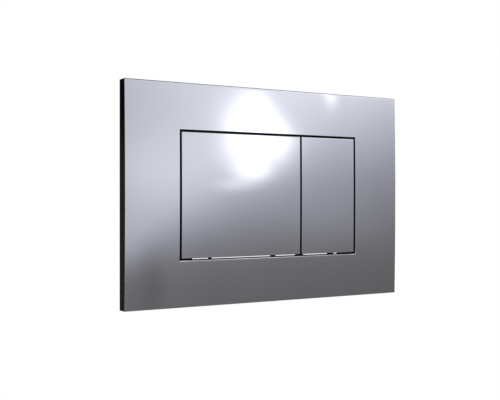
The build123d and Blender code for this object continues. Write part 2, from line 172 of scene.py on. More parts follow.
@dataclass(frozen=True)
class Finish:
    """One material: what it is, how its surface was made and what that gives the eye.

    The grain is the size of the fine pattern, the relief is how deep it is, and the clouds are the slow
    change from the colour to the shade. Roughness runs from the shade's value to the colour's.
    """

    name: str
    slot: str
    making: Making
    colour: str
    shade: str
    roughness: tuple[float, float]
    grain_mm: float
    relief_mm: float
    cloud_mm: float
    metallic: float = 0.0
    stretch: tuple[float, float, float] = (1.0, 1.0, 1.0)
    specular: float = 0.5
    cloud_limits: tuple[float, float] = (0.3, 0.7)

    def relief(self, tree: bpy.types.NodeTree, place: bpy.types.NodeSocket) -> bpy.types.NodeSocket:
        """Adds the fine relief that the making of the surface left on it.

        Args:
            tree: the material's tree.
            place: the Object coordinates, drawn out along the part if the surface was drawn.

        Returns:
            The height of the relief, from nought to about one.
        """
        scale = 1 / (self.grain_mm * MM)
        if self.making is Making.MOULDED:
            inputs = {"Vector": place, "Scale": scale, "Smoothness": 0.5}
            pits = add_node(tree, "ShaderNodeTexVoronoi", {"feature": "SMOOTH_F1"}, inputs)
            return pits.outputs["Distance"]
        inputs = {"Vector": place, "Scale": scale, "Detail": 2.0}
        return add_node(tree, "ShaderNodeTexNoise", None, inputs).outputs[0]

    def build(self) -> bpy.types.Material:
        """Builds the material.

        Returns:
            A node material on Object coordinates.
        """
        material = bpy.data.materials.new(self.name)
        material.use_nodes = True
        tree = material.node_tree
        shader = tree.nodes["Principled BSDF"]
        shader.inputs["Metallic"].default_value = self.metallic
        shader.inputs["Specular IOR Level"].default_value = self.specular
        place = add_node(tree, "ShaderNodeTexCoord").outputs["Object"]
        if self.making is Making.DRAWN:
            inputs = {"Vector": place, "Scale": self.stretch}
            place = add_node(tree, "ShaderNodeMapping", None, inputs).outputs[0]
        inputs = {"Vector": place, "Scale": 1 / (self.cloud_mm * MM), "Detail": 3.0}
        clouds = add_node(tree, "ShaderNodeTexNoise", None, inputs).outputs[0]
        low, high = self.cloud_limits
        inputs = {0: clouds, 1: low, 2: high, 3: self.roughness[0], 4: self.roughness[1]}
        spread = add_node(tree, "ShaderNodeMapRange", None, inputs)
        tree.links.new(spread.outputs[0], shader.inputs["Roughness"])
        ramp = add_node(tree, "ShaderNodeValToRGB", None, {0: clouds})
        for stop, position, tone in zip(ramp.color_ramp.elements, (low, high), (self.shade, self.colour)):
            stop.position, stop.color = position, linear(tone)
        tree.links.new(ramp.outputs[0], shader.inputs["Base Color"])
        inputs = {"Strength": 1.0, "Distance": self.relief_mm * MM, "Height": self.relief(tree, place)}
        bump = add_node(tree, "ShaderNodeBump", None, inputs)
        tree.links.new(bump.outputs[0], shader.inputs["Normal"])
        return material


# Bright chrome over polished ABS: a mirror with long, very shallow sink waves and a faint wiping haze.
CHROME = Finish(
    "chrome_plated_abs",
    slot="chrome_plated_abs",
    making=Making.PLATED,
    colour="#E7E8EA",
    shade="#E3E4E7",
    roughness=(0.015, 0.035),
    grain_mm=30.0,
    relief_mm=0.0004,
    cloud_mm=45.0,
    metallic=1.0,
)
# Chrome over the unpolished back of a moulding: a soft grey sheen, cloudy where the current was weak.
DULL_CHROME = Finish(
    "dull_chrome_plated_abs",
    slot="chrome_plated_abs",
    making=Making.PLATED,
    colour="#A4A6AA",
    shade="#8F9196",
    roughness=(0.3, 0.44),
    grain_mm=0.8,
    relief_mm=0.006,
    cloud_mm=16.0,
    metallic=1.0,
)
# Black ABS from a spark-eroded mould: dull, with a fine even grain, drawn coarser than real so that it shows.
BLACK_ABS = Finish(
    "black_abs",
    slot="black_abs",
    making=Making.MOULDED,
    colour="#1B1B1D",
    shade="#151517",
    roughness=(0.42, 0.55),
    grain_mm=0.7,
    relief_mm=0.02,
    cloud_mm=18.0,
)
# Painted gap shade: dead matt black on the walls of the gaps behind the chrome front, standing in for the
# shade inside a gap so that it reads as black.
GAP_SHADE_ABS = Finish(
    "bare_black_abs",
    slot="black_abs",
    making=Making.MOULDED,
    colour="#0B0B0C",
    shade="#080809",
    roughness=(0.8, 0.9),
    grain_mm=0.7,
    relief_mm=0.02,
    cloud_mm=18.0,
    specular=0.0,
)
# Grey polypropylene: waxy, with slow clouds where the melt flowed.
GREY_PP = Finish(
    "grey_polypropylene",
    slot="grey_polypropylene",
    making=Making.MOULDED,
    colour="#9EA2A5",
    shade="#93979B",
    roughness=(0.36, 0.5),
    grain_mm=0.9,
    relief_mm=0.018,
    cloud_mm=24.0,
)
# Natural nylon: creamy white, a little glossy where the mould was polished.
NYLON = Finish(
    "natural_nylon",
    slot="white_nylon",
    making=Making.MOULDED,
    colour="#E6E3D8",
    shade="#DCD8CA",
    roughness=(0.3, 0.42),
    grain_mm=1.2,
    relief_mm=0.01,
    cloud_mm=9.0,
)
# Blue acetal: slick and slightly glossy.
ACETAL = Finish(
    "blue_acetal",
    slot="blue_acetal",
    making=Making.MOULDED,
    colour="#2B5CA8",
    shade="#254F94",
    roughness=(0.22, 0.34),
    grain_mm=1.4,
    relief_mm=0.008,
    cloud_mm=7.0,
)
# Cold-rolled stainless spring strip: satin, with fine rolling lines down its length.
SPRING_STEEL = Finish(
    "rolled_stainless_strip",
    slot="stainless_steel",
    making=Making.DRAWN,
    colour="#CBCBCC",
    shade="#B9BABC",
    roughness=(0.26, 0.38),
    grain_mm=0.4,
    relief_mm=0.0012,
    cloud_mm=5.0,
    metallic=1.0,
    stretch=(1.0, 1.0, 0.03),
)
# Drawn stainless wire: brighter than the strip, with die lines along the pin.
STAINLESS = Finish(
    "drawn_stainless_wire",
    slot="stainless_steel",
    making=Making.DRAWN,
    colour="#D2D2D3",
    shade="#C4C5C7",
    roughness=(0.18, 0.28),
    grain_mm=0.3,
    relief_mm=0.0008,
    cloud_mm=6.0,
    metallic=1.0,
    stretch=(0.03, 1.0, 1.0),
)
# Zinc-plated steel: a bluish silver with slightly cloudy passivation.
ZINC = Finish(
    "zinc_plated_steel",
    slot="zinc_plated_steel",
    making=Making.PLATED,
    colour="#C3C8CF",
    shade="#AEB4BC",
    roughness=(0.25, 0.4),
    grain_mm=0.6,
    relief_mm=0.004,
    cloud_mm=2.0,
    metallic=1.0,
)
# Moulded rubber: black and dull, with a soft bloom.
RUBBER = Finish(
    "black_rubber",
    slot="black_rubber",
    making=Making.MOULDED,
    colour="#1A1A1A",
    shade="#121212",
    roughness=(0.7, 0.85),
    grain_mm=0.5,
    relief_mm=0.02,
    cloud_mm=4.0,
)

FINISHES = (
    CHROME,
    DULL_CHROME,
    BLACK_ABS,
    GAP_SHADE_ABS,
    GREY_PP,
    NYLON,
    ACETAL,
    SPRING_STEEL,
    STAINLESS,
    ZINC,
    RUBBER,
)


class Workshop:
    """Makes objects from meshes and node trees, gives them their finish and body, and hides the CAD node that
    each replaces.
    """

    def __init__(self, frame: dict) -> None:
        """Keeps the frame and builds every material.
        """
        self.nodes = frame["nodes"]
        self.materials = {finish.name: finish.build() for finish in FINISHES}
        self.trees: dict[str, bpy.types.NodeTree] = {}

    def material(self, finish: Finish) -> bpy.types.Material:
        """The built material of a finish."""
        return self.materials[finish.name]

    def show(self, name: str, mesh: bpy.types.Mesh) -> bpy.types.Object:
        """Puts a mesh in the scene as an object at the origin.

        Args:
            name: the object's name.
            mesh: its mesh.

        Returns:
            The new object.
        """
        obj = bpy.data.objects.new(name, mesh)
        bpy.context.scene.collection.objects.link(obj)
        return obj

    def from_bmesh(self, name: str, bm: bmesh.types.BMesh) -> bpy.types.Object:
        """Turns an edited mesh into an object, with its faces pointing outwards.

        Args:
            name: the object's name.
            bm: the edited mesh, which is freed.

        Returns:
            The new object.
        """
        bmesh.ops.recalc_face_normals(bm, faces=bm.faces)
        mesh = bpy.data.meshes.new(name)
        bm.to_mesh(mesh)
        bm.free()
        return self.show(name, mesh)

    def run_tree(self, obj: bpy.types.Object, tree: bpy.types.NodeTree, values: dict) -> None:
        """Adds a Geometry Nodes modifier with its inputs set.

        Args:
            obj: the object that gets the modifier.
            tree: the node tree.
            values: the value of each named input.
        """
        modifier = obj.modifiers.new(tree.name, "NODES")
        modifier.node_group = tree
        for item in tree.interface.items_tree:
            if item.name in values:
                modifier[item.identifier] = values[item.name]

    def settle(self, obj: bpy.types.Object) -> bpy.types.Object:
        """Turns an object with modifiers into a plain, smoothly shaded mesh.

        Args:
            obj: the object.

        Returns:
            The same object.
        """
        graph = bpy.context.evaluated_depsgraph_get()
        mesh = bpy.data.meshes.new_from_object(obj.evaluated_get(graph))
        obj.modifiers.clear()
        obj.data = mesh
        mesh.name = obj.name
        mesh.shade_smooth()
        mesh.set_sharp_from_angle(angle=SMOOTH_ANGLE)
        return obj

    def tree(self, name: str, inputs: dict[str, str]) -> tuple[bpy.types.NodeTree, dict, bool]:
        """Finds a Geometry Nodes tree or starts a new one.

        Args:
            name: the tree's name.
            inputs: the socket type of each named input after the geometry.

        Returns:
            The tree, its input sockets by name, and whether it is new.
        """
        if name in self.trees:
            return self.trees[name], {}, False
        tree = bpy.data.node_groups.new(name, "GeometryNodeTree")
        tree.interface.new_socket("Geometry", in_out="INPUT", socket_type="NodeSocketGeometry")
        for label, kind in inputs.items():
            tree.interface.new_socket(label, in_out="INPUT", socket_type=kind)
        tree.interface.new_socket("Geometry", in_out="OUTPUT", socket_type="NodeSocketGeometry")
        self.trees[name] = tree
        source = tree.nodes.new("NodeGroupInput")
        return tree, {socket.name: socket for socket in source.outputs}, True

    def close_tree(
        self, tree: bpy.types.NodeTree, geometry: bpy.types.NodeSocket, finish: bpy.types.NodeSocket
    ) -> None:
        """Ends a tree with Realize Instances and Set Material.

        Args:
            tree: the tree.
            geometry: the socket with the finished geometry.
            finish: the socket with the material.
        """
        real = add_node(tree, "GeometryNodeRealizeInstances", None, {0: geometry}).outputs[0]
        inputs = {"Geometry": real, "Material": finish}
        dressed = add_node(tree, "GeometryNodeSetMaterial", None, inputs).outputs[0]
        add_node(tree, "NodeGroupOutput", None, {0: dressed})

    def crown_tree(self) -> bpy.types.NodeTree:
        """The tree that bows the front of a flat moulding, so that it is highest at mid-height.

        Returns:
            A tree with inputs for the crown's radius and height, and the depth to which points follow it.
        """
        kinds = {
            "Crown Radius": "NodeSocketFloat",
            "Crown Height": "NodeSocketFloat",
            "Follow Depth": "NodeSocketFloat",
            "Finish": "NodeSocketMaterial",
        }
        tree, given, new = self.tree("crowned_front", kinds)
        if not new:
            return tree
        place = add_node(tree, "GeometryNodeInputPosition").outputs[0]
        parts = add_node(tree, "ShaderNodeSeparateXYZ", None, {0: place}).outputs
        known = {
            "radius": given["Crown Radius"],
            "height": given["Crown Height"],
            "limit": given["Follow Depth"],
            "y": parts["Y"],
            "z": parts["Z"],
        }
        found = add_sums(
            tree,
            known,
            (
                ("radius_squared", "MULTIPLY", "radius", "radius"),
                ("z_squared", "MULTIPLY", "z", "z"),
                ("chord", "SUBTRACT", "radius_squared", "z_squared"),
                ("reach", "SQRT", "chord"),
                ("drop", "SUBTRACT", "radius", "reach"),
                ("shift", "SUBTRACT", "drop", "height"),
                ("follows", "LESS_THAN", "y", "limit"),
                ("move", "MULTIPLY", "shift", "follows"),
            ),
        )
        offset = add_node(tree, "ShaderNodeCombineXYZ", None, {"Y": found["move"]}).outputs[0]
        moved = add_node(
            tree, "GeometryNodeSetPosition", None, {"Geometry": given["Geometry"], "Offset": offset}
        ).outputs[0]
        self.close_tree(tree, moved, given["Finish"])
        return tree

    def thread_tree(self) -> bpy.types.NodeTree:
        """The tree that cuts a helical thread into a bar turned about Y.

        Returns:
            A tree with inputs for the pitch, the depth, the ends and run-out of the thread, and the radius
            above which it cuts.
        """
        labels = ("Pitch", "Depth", "Start", "End", "Core Radius", "Run Out")
        kinds = {label: "NodeSocketFloat" for label in labels}
        tree, given, new = self.tree("helical_thread", {**kinds, "Finish": "NodeSocketMaterial"})
        if not new:
            return tree
        place = add_node(tree, "GeometryNodeInputPosition").outputs[0]
        parts = add_node(tree, "ShaderNodeSeparateXYZ", None, {0: place}).outputs
        known = {label: given[label] for label in labels}
        known.update({axis: parts[axis] for axis in "XYZ"})
        found = add_sums(
            tree,
            known,
            (
                ("angle", "ARCTAN2", "Z", "X"),
                ("turn", "DIVIDE", "angle", math.tau),
                ("rise", "DIVIDE", "Y", "Pitch"),
                ("phase", "SUBTRACT", "rise", "turn"),
                ("part", "FRACT", "phase"),
                ("twice", "MULTIPLY_ADD", "part", 2.0, -1.0),
                ("flank", "ABSOLUTE", "twice"),
                ("from_start", "SUBTRACT", "Y", "Start"),
                ("to_end", "SUBTRACT", "End", "Y"),
                ("nearest", "MINIMUM", "from_start", "to_end"),
                ("share", "DIVIDE", "nearest", "Run Out"),
                ("low", "MAXIMUM", "share", 0.0),
                ("fade", "MINIMUM", "low", 1.0),
                ("x_squared", "MULTIPLY", "X", "X"),
                ("z_squared", "MULTIPLY", "Z", "Z"),
                ("both", "ADD", "x_squared", "z_squared"),
                ("radius", "SQRT", "both"),
                ("outside", "GREATER_THAN", "radius", "Core Radius"),
                ("cut", "MULTIPLY", "flank", "Depth"),
                ("faded", "MULTIPLY", "cut", "fade"),
                ("kept", "MULTIPLY", "faded", "outside"),
                ("safe", "MAXIMUM", "radius", TOUCH),
                ("ratio", "DIVIDE", "kept", "safe"),
                ("scale", "MULTIPLY", "ratio", -1.0),
                ("dx", "MULTIPLY", "X", "scale"),
                ("dz", "MULTIPLY", "Z", "scale"),
            ),
        )
        offset = add_node(tree, "ShaderNodeCombineXYZ", None, {"X": found["dx"], "Z": found["dz"]}).outputs[0]
        moved = add_node(
            tree, "GeometryNodeSetPosition", None, {"Geometry": given["Geometry"], "Offset": offset}
        ).outputs[0]
        self.close_tree(tree, moved, given["Finish"])
        return tree

    def copies_tree(self) -> bpy.types.NodeTree:
        """The tree that puts a copy of one piece on every point, turned about Y by the point's own angle.

        Returns:
            A tree with an input for the piece that is copied.
        """
        kinds = {"Piece": "NodeSocketObject", "Finish": "NodeSocketMaterial"}
        tree, given, new = self.tree("copies_on_points", kinds)
        if not new:
            return tree
        piece = add_node(tree, "GeometryNodeObjectInfo", None, {0: given["Piece"]}).outputs["Geometry"]
        turn = add_node(
            tree, "GeometryNodeInputNamedAttribute", {"data_type": "FLOAT_VECTOR"}, {"Name": "turn"}
        ).outputs[0]
        spun = add_node(tree, "FunctionNodeEulerToRotation", None, {0: turn}).outputs[0]
        placed = add_node(
            tree,
            "GeometryNodeInstanceOnPoints",
            None,
            {"Points": given["Geometry"], "Instance": piece, "Rotation": spun},
        ).outputs[0]
        self.close_tree(tree, placed, given["Finish"])
        return tree

    def strip_tree(self) -> bpy.types.NodeTree:
        """The tree that bends flat strip along a path of straight runs with rounded bends.

        Returns:
            A tree with inputs for the strip's width, thickness and bend radius.
        """
        kinds = {
            "Width": "NodeSocketFloat",
            "Thickness": "NodeSocketFloat",
            "Bend Radius": "NodeSocketFloat",
            "Finish": "NodeSocketMaterial",
        }
        tree, given, new = self.tree("bent_strip", kinds)
        if not new:
            return tree
        path = add_node(tree, "GeometryNodeMeshToCurve", None, {0: given["Geometry"]}).outputs[0]
        bent = add_node(
            tree,
            "GeometryNodeFilletCurve",
            {"mode": "POLY"},
            {"Curve": path, "Radius": given["Bend Radius"], "Limit Radius": True, "Count": 6},
        ).outputs[0]
        section = add_node(
            tree,
            "GeometryNodeCurvePrimitiveQuadrilateral",
            None,
            {"Width": given["Width"], "Height": given["Thickness"]},
        ).outputs[0]
        strip = add_node(
            tree,
            "GeometryNodeCurveToMesh",
            None,
            {"Curve": bent, "Profile Curve": section, "Fill Caps": True},
        ).outputs[0]
        self.close_tree(tree, strip, given["Finish"])
        return tree

    def copies(
        self, name: str, piece: bpy.types.Object, places: Sequence[tuple], finish: Finish
    ) -> bpy.types.Object:
        """Puts copies of a piece at several places, as one plain mesh.

        Args:
            name: the new object's name.
            piece: the piece to copy, which is removed.
            places: X, Y, Z and turn about Y of each copy.
            finish: what the copies are made of.

        Returns:
            The new object.
        """
        mesh = bpy.data.meshes.new(name)
        mesh.from_pydata([place[:3] for place in places], [], [])
        turns = mesh.attributes.new("turn", "FLOAT_VECTOR", "POINT")
        for item, place in zip(turns.data, places):
            item.vector = (0.0, place[3], 0.0)
        obj = self.show(name, mesh)
        self.run_tree(obj, self.copies_tree(), {"Piece": piece, "Finish": self.material(finish)})
        self.settle(obj)
        bpy.data.objects.remove(piece)
        return obj

    def cut_thread(
        self,
        bar: bpy.types.Object,
        pitch: float,
        depth: float,
        ends: tuple[float, float],
        radius: float,
        run_out: float,
    ) -> None:
        """Cuts a thread into a nylon bar that was turned about Y.

        Args:
            bar: the bar, with closely spaced rows where the thread is.
            pitch: the distance between two turns.
            depth: how deep the thread is cut.
            ends: where it starts and ends along Y.
            radius: the radius of the bar.
            run_out: the length over which it fades at each end.
        """
        values = {
            "Pitch": pitch,
            "Depth": depth,
            "Start": ends[0],
            "End": ends[1],
            "Core Radius": radius - THREAD_SKIN,
            "Run Out": run_out,
            "Finish": self.material(NYLON),
        }
        self.run_tree(bar, self.thread_tree(), values)
        self.settle(bar)

    def combine(self, obj: bpy.types.Object, tool: bpy.types.Object, how: Combine) -> None:
        """Cuts a piece with a tool or joins the tool to it, and removes the tool.

        Args:
            obj: the piece.
            tool: a closed mesh.
            how: whether the tool cuts or is joined.
        """
        modifier = obj.modifiers.new("combine", "BOOLEAN")
        modifier.operation = how.value
        modifier.solver = "EXACT"
        modifier.object = tool
        self.settle(obj)
        bpy.data.objects.remove(tool)

    def finish(self, obj: bpy.types.Object, finish: Finish, body: str | None, node: str) -> bpy.types.Object:
        """Dresses a finished piece, hangs it on the body that it rides on, and hides the CAD node that it
        stands for.

        Args:
            obj: the piece.
            finish: its material.
            body: the CAD body that it moves with, or None for a piece between two bodies, which is then hung
                on neither.
            node: the CAD node that it replaces.

        Returns:
            The same piece.
        """
        obj.data.materials.clear()
        obj.data.materials.append(self.material(finish))
        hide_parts(node)
        if body:
            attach(obj, body)
        log.info("%s: %d faces on %s", obj.name, len(obj.data.polygons), body or "two bodies")
        return obj


def block(bm: bmesh.types.BMesh, low: Sequence[float], high: Sequence[float]) -> None:
    """Adds a box to an edited mesh.

    Args:
        bm: the edited mesh.
        low: the box's lowest corner.
        high: its highest corner.
    """
    for vert in bmesh.ops.create_cube(bm, size=1.0)["verts"]:
        vert.co = Vector([low[i] if vert.co[i] < 0 else high[i] for i in range(3)])


def turned(profile: Sequence[tuple], steps: int = 40, lobes: int = 0) -> bmesh.types.BMesh:
    """Turns a profile about Y.

    Args:
        profile: radius and Y of each point, and the depth of the flutes there if it has them.
        steps: the number of faces round the axis.
        lobes: the number of flutes.

    Returns:
        A closed edited mesh.
    """
    bm = bmesh.new()
    rings = []
    for radius, y, *flute in profile:
        if radius <= 0:
            rings.append([bm.verts.new((0, y, 0))])
            continue
        ring = []
        for i in range(steps):
            angle = math.tau * i / steps
            depth = flute[0] * (0.5 - 0.5 * math.cos(lobes * angle)) if flute else 0.0
            out = radius - depth
            ring.append(bm.verts.new((out * math.cos(angle), y, out * math.sin(angle))))
        rings.append(ring)
    for one, two in zip(rings, rings[1:]):
        for i in range(steps):
            a, b = one[i % len(one)], one[(i + 1) % len(one)]
            c, d = two[(i + 1) % len(two)], two[i % len(two)]
            corners = list(dict.fromkeys((a, b, c, d)))
            if len(corners) > 2:
                bm.faces.new(corners)
    return bm


def thread_rows(
    start: float, end: float, radius: float, pitch: float, rows_per_turn: int = 8
) -> list[tuple[float, float]]:
    """Closely spaced profile points for a stretch of bar that gets a thread."""
    count = max(2, round((end - start) / pitch * rows_per_turn))
    return [(radius, start + (end - start) * i / count) for i in range(count + 1)]


def hex_nut(flats: float, bore: float, y0: float, y1: float, steps: int = 48) -> bmesh.types.BMesh:
    """A hexagonal nut along Y whose corners are turned off at 30 degrees at both ends.

    Args:
        flats: the width across the flats.
        bore: the radius of the hole.
        y0: the front end.
        y1: the back end.
        steps: the number of faces round the axis.

    Returns:
        A closed edited mesh.
    """
    bm = bmesh.new()
    end_share, slope = 0.97, math.tan(math.radians(30))
    end_radius = flats / 2 * end_share
    rows: list[list] = [[] for _ in range(6)]
    for i in range(steps):
        angle = math.tau * i / steps
        bend = (angle % (math.pi / 3)) - math.pi / 6
        radius = flats / 2 / math.cos(bend)
        drop = (radius - end_radius) * slope
        points = (
            (bore, y0),
            (end_radius, y0),
            (radius, y0 + drop),
            (radius, y1 - drop),
            (end_radius, y1),
            (bore, y1),
        )
        for row, (r, y) in zip(rows, points):
            row.append(bm.verts.new((r * math.cos(angle), y, r * math.sin(angle))))
    for one, two in zip(rows, rows[1:] + rows[:1]):
        for i in range(steps):
            j = (i + 1) % steps
            bm.faces.new((one[i], one[j], two[j], two[i]))
    return bm


@dataclass(frozen=True)
class Relief:
    """A moulded plate of rectangular cells: one flat front, and a back whose depth changes from cell to cell.

    A line round every wall, at the hold's depth behind the front, keeps the wall flat under smooth shading.
    """

    x_lines: tuple[float, ...]
    z_lines: tuple[float, ...]
    front: float
    hold: float
    back_at: Callable[[float, float], float | None]
    roll_at: Callable[[float, float], float]
    edge_angle: float = 1.0

    def build(self) -> bmesh.types.BMesh:
        """Builds the closed mesh, with a bevel weight on every edge of its front.

        Returns:
            The edited mesh.
        """
        bm = bmesh.new()
        made: dict[tuple, bmesh.types.BMVert] = {}

        def point(corner: tuple[int, int], y: float) -> bmesh.types.BMVert:
            """Finds or makes the point at a crossing of two lines.

            Args:
                corner: the numbers of the two lines.
                y: the point's depth.

            Returns:
                The point.
            """
            key = (*corner, round(y / MM, 4))
            if key not in made:
                made[key] = bm.verts.new((self.x_lines[corner[0]], y, self.z_lines[corner[1]]))
            return made[key]

        cells = self.cells()
        held = self.front + self.hold
        levels = defaultdict(set)
        for (i, j), back in cells.items():
            for corner in ((i, j), (i + 1, j), (i + 1, j + 1), (i, j + 1)):
                levels[corner] |= {self.front, held, back}
        for (i, j), back in cells.items():
            ring = ((i, j), (i + 1, j), (i + 1, j + 1), (i, j + 1))
            bm.faces.new([point(corner, self.front) for corner in ring])
            bm.faces.new([point(corner, back) for corner in reversed(ring)])
            beside = ((i, j - 1), (i + 1, j), (i, j + 1), (i - 1, j))
            for side, neighbour in enumerate(beside):
                top = cells.get(neighbour, self.front)
                if top >= back:
                    continue
                one, two = ring[side], ring[(side + 1) % 4]
                stops = [top, held, back] if top < held else [top, back]
                for y0, y1 in zip(stops, stops[1:]):
                    down = [point(one, y) for y in sorted(levels[one]) if y0 <= y <= y1]
                    rise = [point(two, y) for y in sorted(levels[two], reverse=True) if y0 <= y <= y1]
                    bm.faces.new(down + rise)
        bmesh.ops.recalc_face_normals(bm, faces=bm.faces)
        weight = bm.edges.layers.float.new("bevel_weight_edge")
        on_front = {vert for vert in bm.verts if vert.co.y < self.front + TOUCH}
        for edge in bm.edges:
            if on_front.issuperset(edge.verts) and edge.calc_face_angle(0.0) > self.edge_angle:
                edge[weight] = 1.0
        for vert in on_front:
            vert.co.y += self.roll_at(vert.co.x, vert.co.z)
        return bm

    def cells(self) -> dict[tuple[int, int], float]:
        """Finds the cells that aren't open.

        Returns:
            The depth of the back in each, by the numbers of the lines before it.
        """
        found = {}
        for i, (x0, x1) in enumerate(zip(self.x_lines, self.x_lines[1:])):
            for j, (z0, z1) in enumerate(zip(self.z_lines, self.z_lines[1:])):
                back = self.back_at((x0 + x1) / 2, (z0 + z1) / 2)
                if back is not None:
                    found[(i, j)] = back
        return found


def rule_lines(breaks: Iterable[float], widest: float) -> tuple[float, ...]:
    """Sorted lines through given breaks, with more between them so that none lie further apart than a limit.

    Args:
        breaks: the places that need a line.
        widest: the largest distance between lines.

    Returns:
        The places of all lines.
    """
    ordered = sorted({round(value, 7) for value in breaks})
    lines = [ordered[0]]
    for low, high in zip(ordered, ordered[1:]):
        count = max(1, math.ceil((high - low) / widest))
        lines += [low + (high - low) * (i + 1) / count for i in range(count)]
    return tuple(lines)


@dataclass
class PlatedFront:
    """The chrome cover plate and the two button caps, which share one crowned front.

    The front rolls off softly at its top edge, at the lower lip of the opening and at the top of each cap.
    """

    shop: Workshop
    crown: float = 1.0 * MM
    crown_radius: float = 3362.5 * MM
    crown_margin: float = 0.5 * MM
    face_wall: float = 2.5 * MM
    rim_wall: float = 2.2 * MM
    edge_radius: float = 0.06 * MM
    edge_steps: int = 4
    roll_width: float = 0.42 * MM
    roll_depth: float = 0.06 * MM
    top_roll_width: float = 0.6 * MM
    top_roll_depth: float = 0.12 * MM
    face_hold: float = 0.12 * MM
    wall_hold: float = 0.25 * MM
    column: float = 12.0 * MM
    row: float = 3.0 * MM
    # Depth behind the front where the polished chrome ends and the dull back or the painted gap shade begins.
    bare_depth: float = 0.12 * MM
    reach: float = 0.01 * MM
    opening_x: float = 80.3 * MM
    opening_z: float = 47.85 * MM
    collar_wall: float = 1.6 * MM
    collar_back: float = -4.6 * MM
    post_back: float = -3.5 * MM
    post_width: float = 7.0 * MM
    post_x: float = 98.0 * MM
    post_z: float = 64.0 * MM
    rib_wall: float = 1.2 * MM
    rib_spacing: float = 60.0 * MM
    side_rib_z: float = 33.0 * MM
    cap_wall: float = 2.2 * MM
    skirt_wall: float = 1.5 * MM
    locating_rib: float = 2.0 * MM
    hook_root: float = 1.5 * MM
    hook_z: float = 30.0 * MM
    hook_inset: float = 13.0 * MM
    hook_width: float = 6.0 * MM
    hook_thickness: float = 1.8 * MM
    hook_barb: float = 0.9 * MM
    hook_barb_length: float = 1.7 * MM
    hook_catch: float = -1.7 * MM

    @staticmethod
    def roll(inset: float, width: float, depth: float) -> float:
        """How far the polished front rolls off towards an upper edge, at a distance from that edge."""
        return depth * (1 - inset / width) ** 2 if -TOUCH < inset < width else 0.0

    @staticmethod
    def roll_lines(width: float) -> tuple[float, ...]:
        """The distances from an edge at which a roll-off of a given width needs a line."""
        return tuple(width * share for share in (0.25, 0.5, 0.75, 1.0))

    def crowned(self, name: str, relief: Relief, wall: float) -> bpy.types.Object:
        """Rounds the front edges of a relief and bows its face.

        Args:
            name: the object's name.
            relief: the flat moulding.
            wall: the thickness of its face.

        Returns:
            The finished mesh as an object.
        """
        obj = self.shop.from_bmesh(name, relief.build())
        bevel = obj.modifiers.new("rounding", "BEVEL")
        bevel.limit_method = "WEIGHT"
        bevel.width = self.edge_radius
        bevel.segments = self.edge_steps
        bevel.use_clamp_overlap = False
        values = {
            "Crown Radius": self.crown_radius,
            "Crown Height": self.crown,
            "Follow Depth": relief.front + wall + self.crown_margin,
            "Finish": self.shop.material(CHROME),
        }
        self.shop.run_tree(obj, self.shop.crown_tree(), values)
        return self.shop.settle(obj)

    def cover_lines(self, half_x: float, half_z: float) -> tuple[tuple[float, ...], tuple[float, ...]]:
        """The lines that divide the cover plate into cells.

        Args:
            half_x: half the plate's width.
            half_z: half its height.

        Returns:
            The places of the lines across X and across Z.
        """
        open_x, open_z = self.opening_x, self.opening_z
        half_rib, half_post = self.rib_wall / 2, self.post_width / 2
        x_breaks = [0.0]
        inner_x, collar_x = half_x - self.rim_wall, open_x + self.collar_wall
        for edge in (half_x, half_x - self.face_hold, inner_x, open_x, open_x + self.face_hold, collar_x):
            x_breaks += [-edge, edge]
        middles = [(rib, half_rib) for rib in self.ribs_x()]
        middles += [(post, half_post) for post in (self.post_x, -self.post_x)]
        for middle, half in middles:
            x_breaks += [middle - half, middle + half]
        z_breaks = [0.0, self.face_hold - half_z, open_z + self.face_hold]
        z_breaks += [half_z - line for line in self.roll_lines(self.top_roll_width)]
        z_breaks += [-open_z - line for line in self.roll_lines(self.roll_width)]
        for edge in (half_z, half_z - self.rim_wall, open_z, open_z + self.collar_wall):
            z_breaks += [-edge, edge]
        for place, half in ((self.side_rib_z, half_rib), (self.post_z, half_post)):
            z_breaks += [place - half, place + half, -place - half, -place + half]
        return rule_lines(x_breaks, self.column), rule_lines(z_breaks, self.row)

    def ribs_x(self) -> tuple[float, ...]:
        """Where the ribs above and below the opening stand."""
        return (-self.rib_spacing, 0.0, self.rib_spacing)

    def cover(self) -> None:
        """Builds the cover plate: face, rim, collar round the buttons, ribs and screw posts."""
        low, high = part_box("cover_plate")
        half_x, half_z = high[0], high[2]
        front = low[1] + self.crown
        open_x, open_z = self.opening_x, self.opening_z
        inner_x, inner_z = half_x - self.rim_wall, half_z - self.rim_wall
        collar_x, collar_z = open_x + self.collar_wall, open_z + self.collar_wall
        half_rib, half_post = self.rib_wall / 2, self.post_width / 2

        def back_at(x: float, z: float) -> float | None:
            """Finds the depth of the back.

            Args:
                x: a place across the plate.
                z: its height.

            Returns:
                The depth there, or None in the opening.
            """
            ax, az = abs(x), abs(z)
            if ax < open_x and az < open_z:
                return None
            if ax > inner_x or az > inner_z:
                return 0.0
            if abs(ax - self.post_x) < half_post and abs(az - self.post_z) < half_post:
                return self.post_back
            in_collar = ax < collar_x and az < collar_z
            on_rib = az > collar_z and any(abs(x - rib) < half_rib for rib in self.ribs_x())
            on_side_rib = ax > collar_x and abs(az - self.side_rib_z) < half_rib
            if in_collar or on_rib or on_side_rib:
                return self.collar_back
            return front + self.face_wall

        def roll_at(x: float, z: float) -> float:
            """Finds how far the front rolls off, at the top edge and at the lower lip of the opening.

            Args:
                x: a place across the plate.
                z: its height.

            Returns:
                The depth of the roll-off there.
            """
            at_top = self.roll(half_z - z, self.top_roll_width, self.top_roll_depth)
            if abs(x) > open_x + TOUCH:
                return at_top
            return max(at_top, self.roll(-open_z - z, self.roll_width, self.roll_depth))

        def within(place: Vector, side_x: float, side_z: float) -> bool:
            """Whether a place lies behind the front and between two sides."""
            return place.y > front + self.bare_depth and abs(place.x) < side_x and abs(place.z) < side_z

